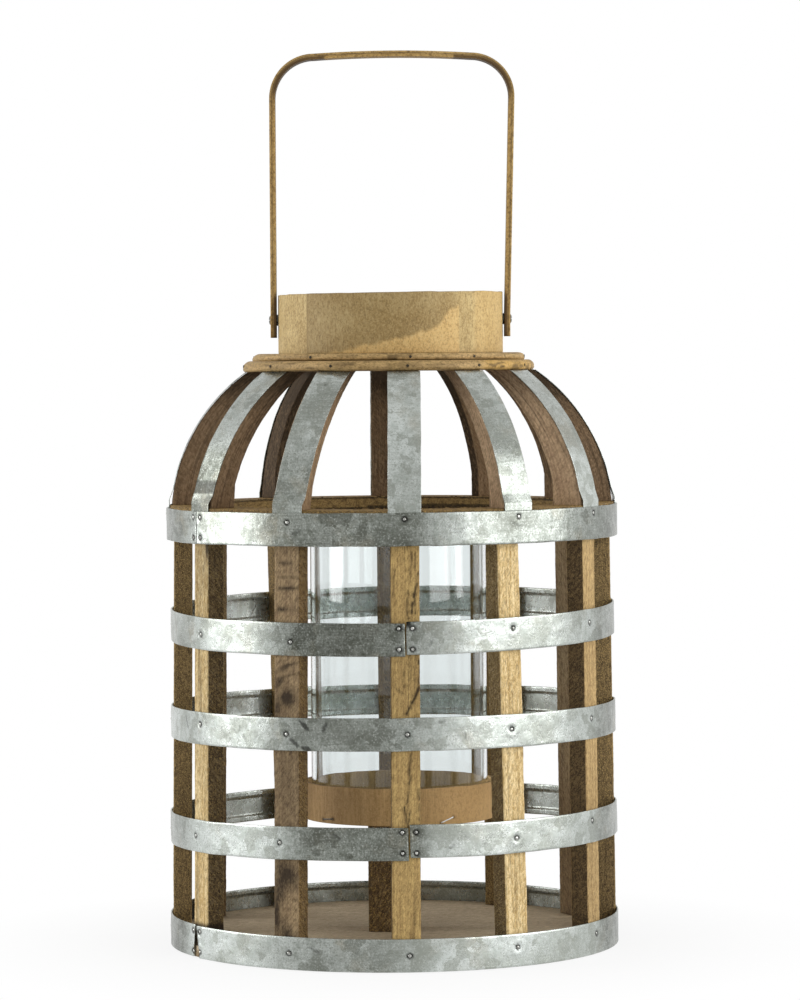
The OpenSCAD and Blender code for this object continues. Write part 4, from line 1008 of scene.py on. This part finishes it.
def make_rim_rings():
    """Steam-bent ply rings with rounded noses, which droop at the left and the right. The lower one
    has a groove along its glue line."""
    for node, outer, z0, z1 in (("rim_ring_lower", RIM_LOWER_R, RIM_Z, UPPER_Z),
                                ("rim_ring_upper", RIM_UPPER_R, UPPER_Z, COLLAR_Z)):
        half, lower = (z1 - z0) / 2, node == "rim_ring_lower"
        a = np.radians(np.linspace(-90, 90, 15))
        flat = np.linspace(outer - half, RIM_HOLE_R, 18)
        wall = np.linspace(z1, z0, 8)[1:-1]
        section = np.concatenate([
            np.stack([outer - half + half * np.cos(a), z0 + half + half * np.sin(a)], 1),
            np.stack([flat[1:], np.full(17, z1)], 1), np.stack([np.full(6, RIM_HOLE_R), wall], 1),
            np.stack([flat[:0:-1], np.full(17, z0)], 1)])
        angle, r, z = turned_ring(section, np.arange(0, 360, 0.8))
        place = around(angle, r, z)
        edge = smooth_step(outer - 5, outer, r)
        r = r + edge * (0.35 * rough(place * [1, 1, 0.4], 14, 101) + 0.15 * rough(place, 4, 102))
        r = r - edge * 0.3 * bell(z - (z0 + half), 0.5) * lower
        right = np.sin(np.radians(angle))
        droop = 1.6 * np.clip(-right - 0.75, 0, 1) / 0.25 + 0.8 * np.clip(right - 0.8, 0, 1) / 0.2
        # A painted shadow along the bottom of each ring's nose: under the upper ring it is the dark
        # line between the two.
        low = bell(z - z0, 0.9) * edge
        z = z - edge * droop
        points = around(angle, r, z) + [RIM_X, 0, 0]
        grain = np.stack([r, z, np.radians(angle) * outer], -1)
        streak = rough(grain * [1, 1, 0.12], 1.6, 103) + 0.6 * rough(grain * [1, 1, 0.5], 2.5, 104)
        blots = smooth_step(-0.1, 0.6, rough(grain * [1, 1, 0.25], 5, 105))
        dirt_and_painted_shade = 0.8 * low + 0.6 * edge * smooth_step(0.1, 0.6, streak) * (0.45 + 0.75 * blots)
        dirt_and_painted_shade = dirt_and_painted_shade + 0.08 * edge * lower
        gold = smooth_step(36, 44, angle) * smooth_step(82, 72, angle) * lower
        piece = make_piece(node + "_wood", points, RIM_WOOD, closed_path=True,
                           attributes={"grain": grain, "dirt_and_painted_shade": dirt_and_painted_shade, "gold": 0.75 * gold})
        stand_for(node)


def collar_stain(a, z, place):
    """Golden and dark shares of the collar at angles and heights: golden below a tide line that
    climbs to the right as far as 36.5 degrees, and beyond 48, and browner right of its lap."""
    a = half_turn(a)
    tide = np.interp(a, [-60, -23, 14, 25, 31, 36.5], [413, 417, 428, 434, 444, 447])
    below = smooth_step(-1.2, 1.2, tide - z + 1.6 * rough(place, 3.5, 114))
    below = below * smooth_step(37.2, 36.2, a) * smooth_step(-45, -20, a)
    right = 0.35 * smooth_step(45, 50, a) * smooth_step(120, 100, a)
    brown = smooth_step(-47.3, -46.7, a) * smooth_step(60, 5, a) * (1 - below)
    brown = brown * (1 - 0.85 * smooth_step(35.8, 37.2, a))
    return np.maximum(0.62 * below, right), 0.4 * brown


# The cup's staples: angle, slant in degrees, and how much higher than 4 mm above its foot
STAPLES = [(29, 20, -0.6), (101, 4, 0), (173, -6, 0), (245, 3, 0), (-48, 5, -1.0)]
STAPLE_Z = CUP_Z + 4
STAPLE_HALF, STAPLE_LEG, STAPLE_BEND, STAPLE_WIRE = 5.5, 6.0, 0.8, 0.5
# The one staple left in the plain dull steel, without the painted highlight.
DULL_STAPLE = 4


def cup_stain(a, z, _place):
    """Golden and dark shares of the cup's band: golden at its right, darker at its left, and
    black where the staples' legs go in."""
    holes = np.zeros(z.shape)
    for at, slant, up in STAPLES:
        for end in (-5.3, 5.3):
            across = np.radians(half_turn(a - at)) * CUP_R - end * math.cos(math.radians(slant))
            rise = z - (STAPLE_Z + up + end * math.sin(math.radians(slant)))
            holes = np.maximum(holes, bell(np.hypot(across, rise), 1.3))
    a = half_turn(a)
    gold = 0.5 * smooth_step(5, 30, a) * smooth_step(110, 80, a)
    return gold, 0.3 * smooth_step(-5, -30, a) + holes


def make_band(node, radius, wall, z0, z1, centre_x, seam, tilt, material, stain):
    """A bentwood band: a thin rounded wall, a lap half a millimetre high where its end is glued
    down, and a top edge that rises by `tilt` a millimetre across. Its grain runs upright."""
    section, normals = rounded_box(radius - wall, radius, z0, z1, 0.5, 1.1)
    a, r, z = turned_ring(section, seam + np.arange(0, 360, 0.72))
    after = (a - seam) % 360
    out = np.clip(normals[:, 0], 0, 1)
    lap = 0.5 * smooth_step(0, 0.7, after) * (1 - smooth_step(300, 356, after))
    place = around(a, r, z)
    gold, brown = stain(a, z, place)
    r = r + out * (lap - 0.5) + 0.12 * rough(place, 26, 111)
    up = smooth_step(z1 - 6, z1, z)
    z = z + up * (tilt * radius * np.sin(np.radians(a)) + 0.25 * rough(place * [1, 1, 0], 9, 112))
    dirt_and_painted_shade = 0.4 * bell(np.minimum(after, 360 - after), 0.5) * out
    dirt_and_painted_shade = dirt_and_painted_shade + brown + 0.3 * np.abs(normals[:, 1]) * (z > (z0 + z1) / 2)
    piece = make_piece(
        node + "_veneer", around(a, r, z) + [centre_x, 0, 0], material, closed_path=True,
        attributes={"grain": np.stack([np.radians(a) * radius, r, z], -1), "dirt_and_painted_shade": dirt_and_painted_shade,
                    "gold": gold})
    stand_for(node)


def make_disc(node, radius, z0, z1, centre_x):
    """A round board: rings from the middle out, over a rounded edge, and back underneath. Its top
    has grown a tenth of a millimetre rough along the grain."""
    a = np.radians(np.linspace(90, -90, 7))
    edge, rings = 0.6, 26
    flat = np.linspace(0.4, radius - edge, rings)
    r = np.concatenate([flat, radius - edge + edge * np.cos(a), flat[::-1]])
    over = np.where(a > 0, z1 - edge, z0 + edge) + edge * np.sin(a)
    z = np.concatenate([np.full(rings, z1), over, np.full(rings, z0)])
    points = around(np.arange(0, 360, 1.5), r[:, None], z[:, None])
    top = z[:, None] > z1 - 0.01
    lift = 0.12 * rough(points * [0.15, 1, 1], 6, 121) * top * (r[:, None] < radius - 2)
    points[..., 2] += lift - 0.1 * top
    rubbed = np.where(z > z1 - 1, 0.9, 0.2)[:, None]
    piece = make_piece(node + "_wood", points + [centre_x, 0, 0], BOARD_WOOD, attributes={
        "grain": points[..., [1, 2, 0]], "rubbed": rubbed, "dirt_and_painted_shade": 0.0, "crack": 0.15})
    stand_for(node)


def make_pedestal():
    """A square sawn block under the cup, turned a little."""
    half = PEDESTAL_HALF
    section, normals = rounded_box(-half, half, -half, half, 0.9, 1.4)
    grid, place = wood_grid(section, normals, np.linspace(BASE_TOP, CUP_Z, 90), 301)
    points = turn_about(np.concatenate([grid, place[..., 2:]], -1), PEDESTAL_TURN)
    piece = make_piece(
        "pedestal_wood", points + [PEDESTAL_X, 0, 0], POST_WOODS["brown"],
        attributes={"grain": place + 500.0, "rubbed": 0.25, "dirt_and_painted_shade": 0.0, "crack": 0.3})
    stand_for("pedestal")


def make_staples():
    """Five bent wires: a straight crown with rounded shoulders and two legs into the cup."""
    wire, bend = STAPLE_WIRE, STAPLE_BEND
    turn = np.radians(np.linspace(0, 90, 6))
    half = STAPLE_HALF - wire
    right = np.stack([half - bend + bend * np.sin(turn), bend * np.cos(turn) - bend], 1)
    line = np.concatenate([[[-half, -STAPLE_LEG]], right[::-1] * [-1, 1], right,
                           [[half, -STAPLE_LEG]]])
    tangent = unit(np.gradient(line, axis=0))
    normal = np.stack([-tangent[:, 1], tangent[:, 0]], 1)
    ring = np.radians(np.arange(0, 360, 30))
    x = line[:, :1] + wire * np.cos(ring) * normal[:, :1]
    y = line[:, 1:] + wire * np.cos(ring) * normal[:, 1:] + wire
    w = np.broadcast_to(wire * np.sin(ring), x.shape)
    for k, (at, slant, up) in enumerate(STAPLES):
        c, s = math.cos(math.radians(slant)), math.sin(math.radians(slant))
        flat = np.stack([x * c - w * s, -(CUP_R - 0.45 + y), STAPLE_Z + up + (x * s + w * c)], -1)
        piece = make_piece("cup_staple_%d" % (k + 1), turn_about(flat, at) + [CUP_X, 0, 0],
                           STEEL if k == DULL_STAPLE else STAPLE_STEEL_PAINTED_HIGHLIGHT)
        stand_for("hoop_staples")


def make_glass():
    """Turned: outer wall up, over a rounded lip, and down the inner wall to a rounded foot."""
    t, rows = GLASS_T / 2, 18
    a = np.radians(np.linspace(0, 180, 13))
    mid, foot, lip = GLASS_R - t, GLASS_Z + t, GLASS_Z + GLASS_H - t
    z = np.linspace(foot, lip, rows + 2)[1:-1]
    section = np.concatenate([
        np.stack([np.full(rows, GLASS_R), z], 1),
        np.stack([mid + t * np.cos(a), lip + t * np.sin(a)], 1),
        np.stack([np.full(rows, GLASS_R - GLASS_T), z[::-1]], 1),
        np.stack([mid - t * np.cos(a), foot - t * np.sin(a)], 1)])
    angle, r, z = turned_ring(section, np.arange(0, 360, 1.0))
    r = r + 0.05 * rough(around(angle, r, z) * [1, 1, 0.2], 18, 131)
    piece = make_piece("glass_chimney_clear", around(angle, r, z) + [CUP_X, 0, 0], GLASS,
                       closed_path=True, body="glass")
    stand_for("glass_chimney")


# ---- Handle and pivots ----

HANDLE_RISE, HANDLE_TOP_W, HANDLE_T, HANDLE_W = 188.1, 172.0, 4.2, 18.0
HANDLE_CORNER, HANDLE_CROWN, HANDLE_LEAN, LEG_END, LEG_X = 31.0, 1.8, 2.5, 12.4, 80.0
LEG_STRAIGHT = 4.5


def handle_line():
    """The strip's middle line as across and height above the pivots: up a leg, round a corner
    and along the crowned top to the middle, then the same mirrored. It leans at the top."""
    bend = HANDLE_CORNER - HANDLE_T / 2
    foot_x = LEG_X + HANDLE_T / 2
    side_x = HANDLE_TOP_W / 2 - HANDLE_T / 2
    shoulder = HANDLE_RISE - HANDLE_CROWN - HANDLE_T / 2
    a = np.radians(np.linspace(0, 90, 26))
    corner = np.stack([side_x - bend * (1 - np.cos(a)), shoulder - bend * (1 - np.sin(a))], 1)
    s = np.linspace(1, 0, 40)[1:]
    top = np.stack([(side_x - bend) * s, shoulder + HANDLE_CROWN * (1 - s * s)], 1)
    up = np.linspace(0, 1, 70)[:-1, None]
    leg = np.array([foot_x, LEG_STRAIGHT]) + (corner[0] - [foot_x, LEG_STRAIGHT]) * up
    foot = np.stack([np.full(9, foot_x), np.linspace(-LEG_END, LEG_STRAIGHT, 10)[:-1]], 1)
    half = np.concatenate([foot, leg, corner, top])
    line = np.concatenate([half * [-1, 1], half[:-1][::-1]])
    lean = HANDLE_LEAN * np.clip(line[:, 1], 0, None) / HANDLE_RISE
    return line + np.stack([lean, lean * 0], 1)


def make_handle():
    """Two plies glued and bent: a rounded rectangle carried along the line, with a fine groove at
    the glue line, and dips and waves of a tenth of a millimetre."""
    line = handle_line()
    run = np.concatenate([[0], np.cumsum(np.linalg.norm(np.diff(line, axis=0), axis=1))])
    tangent = unit(np.gradient(line, run, axis=0))
    out = np.stack([-tangent[:, 1], tangent[:, 0]], 1)
    section, normals = rounded_box(-HANDLE_T / 2, HANDLE_T / 2, -HANDLE_W / 2, HANDLE_W / 2,
                                   0.5, 0.45)
    t = np.broadcast_to(section[:, 0], (len(run), len(section)))
    w = np.broadcast_to(section[:, 1], t.shape)
    place = np.stack([t, w, np.broadcast_to(run[:, None], t.shape)], -1)
    glue = bell(t - 0.45, 0.42) * np.abs(normals[:, 1])
    wave = 0.10 * rough(place * [1, 1, 0.3], 6, 141)
    wide = w - np.sign(w) * (0.18 * glue + 0.06) + normals[:, 1] * wave * 0.5
    thick = t + normals[:, 0] * (wave * 0.4 - 0.05)
    x = line[:, :1] + out[:, :1] * thick
    z = line[:, 1:] + out[:, 1:] * thick
    points = np.stack([x, wide, z + PIVOT_Z], -1)
    level = np.broadcast_to(line[:, 1:], t.shape)
    inner = t < 0
    corner = bell(level - 172, 16) * (np.abs(line[:, :1]) > 45)
    leg = 1 - smooth_step(14, 22, level)
    dirt_and_painted_shade = 0.95 * glue * (0.8 + 0.3 * rough(place, 7, 142))
    # The inner ply darkens at the corners and towards the feet; at the feet it is painted shade,
    # where the leg lies close to the collar.
    dirt_and_painted_shade = dirt_and_painted_shade + inner * (0.12 + 1.0 * corner + 0.85 * leg) * smooth_step(0, 0.5, -t)
    dirt_and_painted_shade = dirt_and_painted_shade + 0.3 * corner + 0.4 * smooth_step(0.6, 0.9, -normals[:, 0])
    dirt_and_painted_shade = dirt_and_painted_shade + 0.2 * inner * bell(t + 0.5, 0.5)
    piece = make_piece("handle_wood", points, HANDLE_WOOD, attributes={
        "grain": place, "dirt_and_painted_shade": np.clip(dirt_and_painted_shade, 0, 1), "gold": 0.45 * inner}, body="handle")
    stand_for("handle")


def make_pivots():
    """Round-headed screws with a slot. Their washers and nuts keep their CAD mesh."""
    ring = np.radians(np.arange(0, 360, 6))
    face = LEG_X + HANDLE_T + 0.1
    a = np.radians(np.linspace(8, 88, 9))
    r = np.concatenate([[0.1, 1.5, 1.5, 3.1], 3.15 * np.cos(a), [0.1]])
    h = np.concatenate([[-11.6, -11.6, 0.0, 0.0], 0.05 + 1.15 * np.sin(a), [1.2]])
    for side, tag in ((-1, "left"), (1, "right")):
        x, y = r[:, None] * np.cos(ring), r[:, None] * np.sin(ring)
        in_slot = (np.abs(x) < 0.45) & (h[:, None] > 0.1)
        height = np.where(in_slot, np.minimum(h, 0.65)[:, None], h[:, None])
        points = np.stack([side * (face + height), y, PIVOT_Z + x], -1)
        piece = make_piece("pivot_screw_" + tag, points, STEEL)
        stand_for("pivot_screws")


make_posts()
make_ribs()
make_straps()
make_hoops()
make_all_nails()
make_shoulder_ring()
make_rim_rings()
make_band("collar", COLLAR_R, COLLAR_T, COLLAR_Z, COLLAR_TOP, 0.0, -47.0, 0.010, COLLAR_WOOD,
          collar_stain)
make_band("cup_hoop", CUP_R, CUP_T, CUP_Z, CUP_Z + CUP_H, CUP_X, 150.0, 0.0, CUP_WOOD, cup_stain)
make_disc("base_disc", BASE_R, 0.0, BASE_TOP, 0.0)
make_disc("cup_disc", CUP_DISC_R, CUP_Z, CUP_DISC_TOP, CUP_X)
make_pedestal()
make_staples()
make_glass()
make_handle()
make_pivots()

for node_name in ("pivot_washers", "pivot_nuts", "pedestal_screws", "frame_nails"):
    node_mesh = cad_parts[node_name].data
    node_mesh.materials.clear()
    node_mesh.materials.append(STEEL)


# ---- Floor, light and camera ----


def seen_directly(tree):
    """1 for rays from the camera, from gloss and through glass, and 0 for all others."""
    path = add(tree, "ShaderNodeLightPath").outputs
    bounced = add(tree, "ShaderNodeMath", (path["Is Glossy Ray"], path["Is Transmission Ray"]),
                  operation="MAXIMUM").outputs[0]
    return add(tree, "ShaderNodeMath", (path["Is Camera Ray"], bounced),
               operation="MAXIMUM").outputs[0]


def stage_floor():
    """A pale matt floor that is seen as white, save for a share of its own shade close to the
    object, which keeps the object's shadow."""
    material, tree = new_material("matt_white_floor")
    diffuse = add(tree, "ShaderNodeBsdfDiffuse", {"Color": (0.9, 0.9, 0.9, 1)})
    glow = add(tree, "ShaderNodeEmission", {"Color": (1, 1, 1, 1), "Strength": 1.0})
    place = add(tree, "ShaderNodeTexCoord").outputs["Object"]
    away = add(tree, "ShaderNodeVectorMath", (place,), operation="LENGTH").outputs["Value"]
    white = add(tree, "ShaderNodeMapRange", (away, 0.15, 0.32, 0.84, 1.0)).outputs[0]
    share = add(tree, "ShaderNodeMath", (seen_directly(tree), white),
                operation="MULTIPLY").outputs[0]
    mixed = add(tree, "ShaderNodeMixShader", (share, diffuse.outputs[0], glow.outputs[0]))
    add(tree, "ShaderNodeOutputMaterial", {"Surface": mixed.outputs[0]})
    mesh = bpy.data.meshes.new("floor")
    reach, below = 6.0, -0.0005
    mesh.from_pydata([(-reach, -reach, below), (reach, -reach, below), (reach, reach, below),
                      (-reach, reach, below)], [], [(0, 1, 2, 3)])
    mesh.materials.append(material)
    floor = bpy.data.objects.new("floor", mesh)
    bpy.context.scene.collection.objects.link(floor)


def studio_world():
    """White to the camera, to gloss and through glass, and soft grey light to everything else."""
    world = bpy.data.worlds.new("studio")
    bpy.context.scene.world = world
    world.use_nodes = True
    tree = world.node_tree
    tree.nodes.clear()
    strength = add(tree, "ShaderNodeMapRange", (seen_directly(tree), 0.0, 1.0, 0.48, 1.0))
    light = add(tree, "ShaderNodeBackground", {"Color": (1, 1, 1, 1),
                "Strength": strength.outputs[0]})
    add(tree, "ShaderNodeOutputWorld", {"Surface": light.outputs[0]})


LAMP_TARGET = (0, 0, 0.35)


def soft_lamp(name, at, width, height, watts):
    """An upright rectangular lamp that faces the middle of the object."""
    lamp = bpy.data.lights.new(name, "AREA")
    lamp.shape, lamp.size, lamp.size_y, lamp.energy = "RECTANGLE", width, height, watts
    holder = bpy.data.objects.new(name, lamp)
    holder.location = at
    holder.rotation_euler = (Vector(LAMP_TARGET) - Vector(at)).to_track_quat("-Z", "Y").to_euler()
    bpy.context.scene.collection.objects.link(holder)


def make_camera():
    """A long lens at the height of the collar's foot, tipped down by two degrees."""
    away, height, tip, roll = 2.9481, 0.4142, 0.0349, 0.0072
    camera = bpy.data.cameras.new("camera")
    camera.sensor_width, camera.lens, camera.shift_x = 36.0, 150.7, 0.0083
    camera.clip_start, camera.clip_end = 0.1, 50
    holder = bpy.data.objects.new("camera", camera)
    holder.matrix_world = (Matrix.Translation((0, -away, height))
                           @ Matrix.Rotation(math.radians(90) - tip, 4, "X")
                           @ Matrix.Rotation(-roll, 4, "Z"))
    bpy.context.scene.collection.objects.link(holder)
    bpy.context.scene.camera = holder


stage_floor()
studio_world()
soft_lamp("left_softbox", (-2.2, -0.1, 0.75), 1.5, 1.4, 32)
soft_lamp("right_softbox", (1.9, -0.89, 0.75), 2.4, 1.4, 38)
make_camera()
bpy.context.scene.view_settings.view_transform = "Standard"
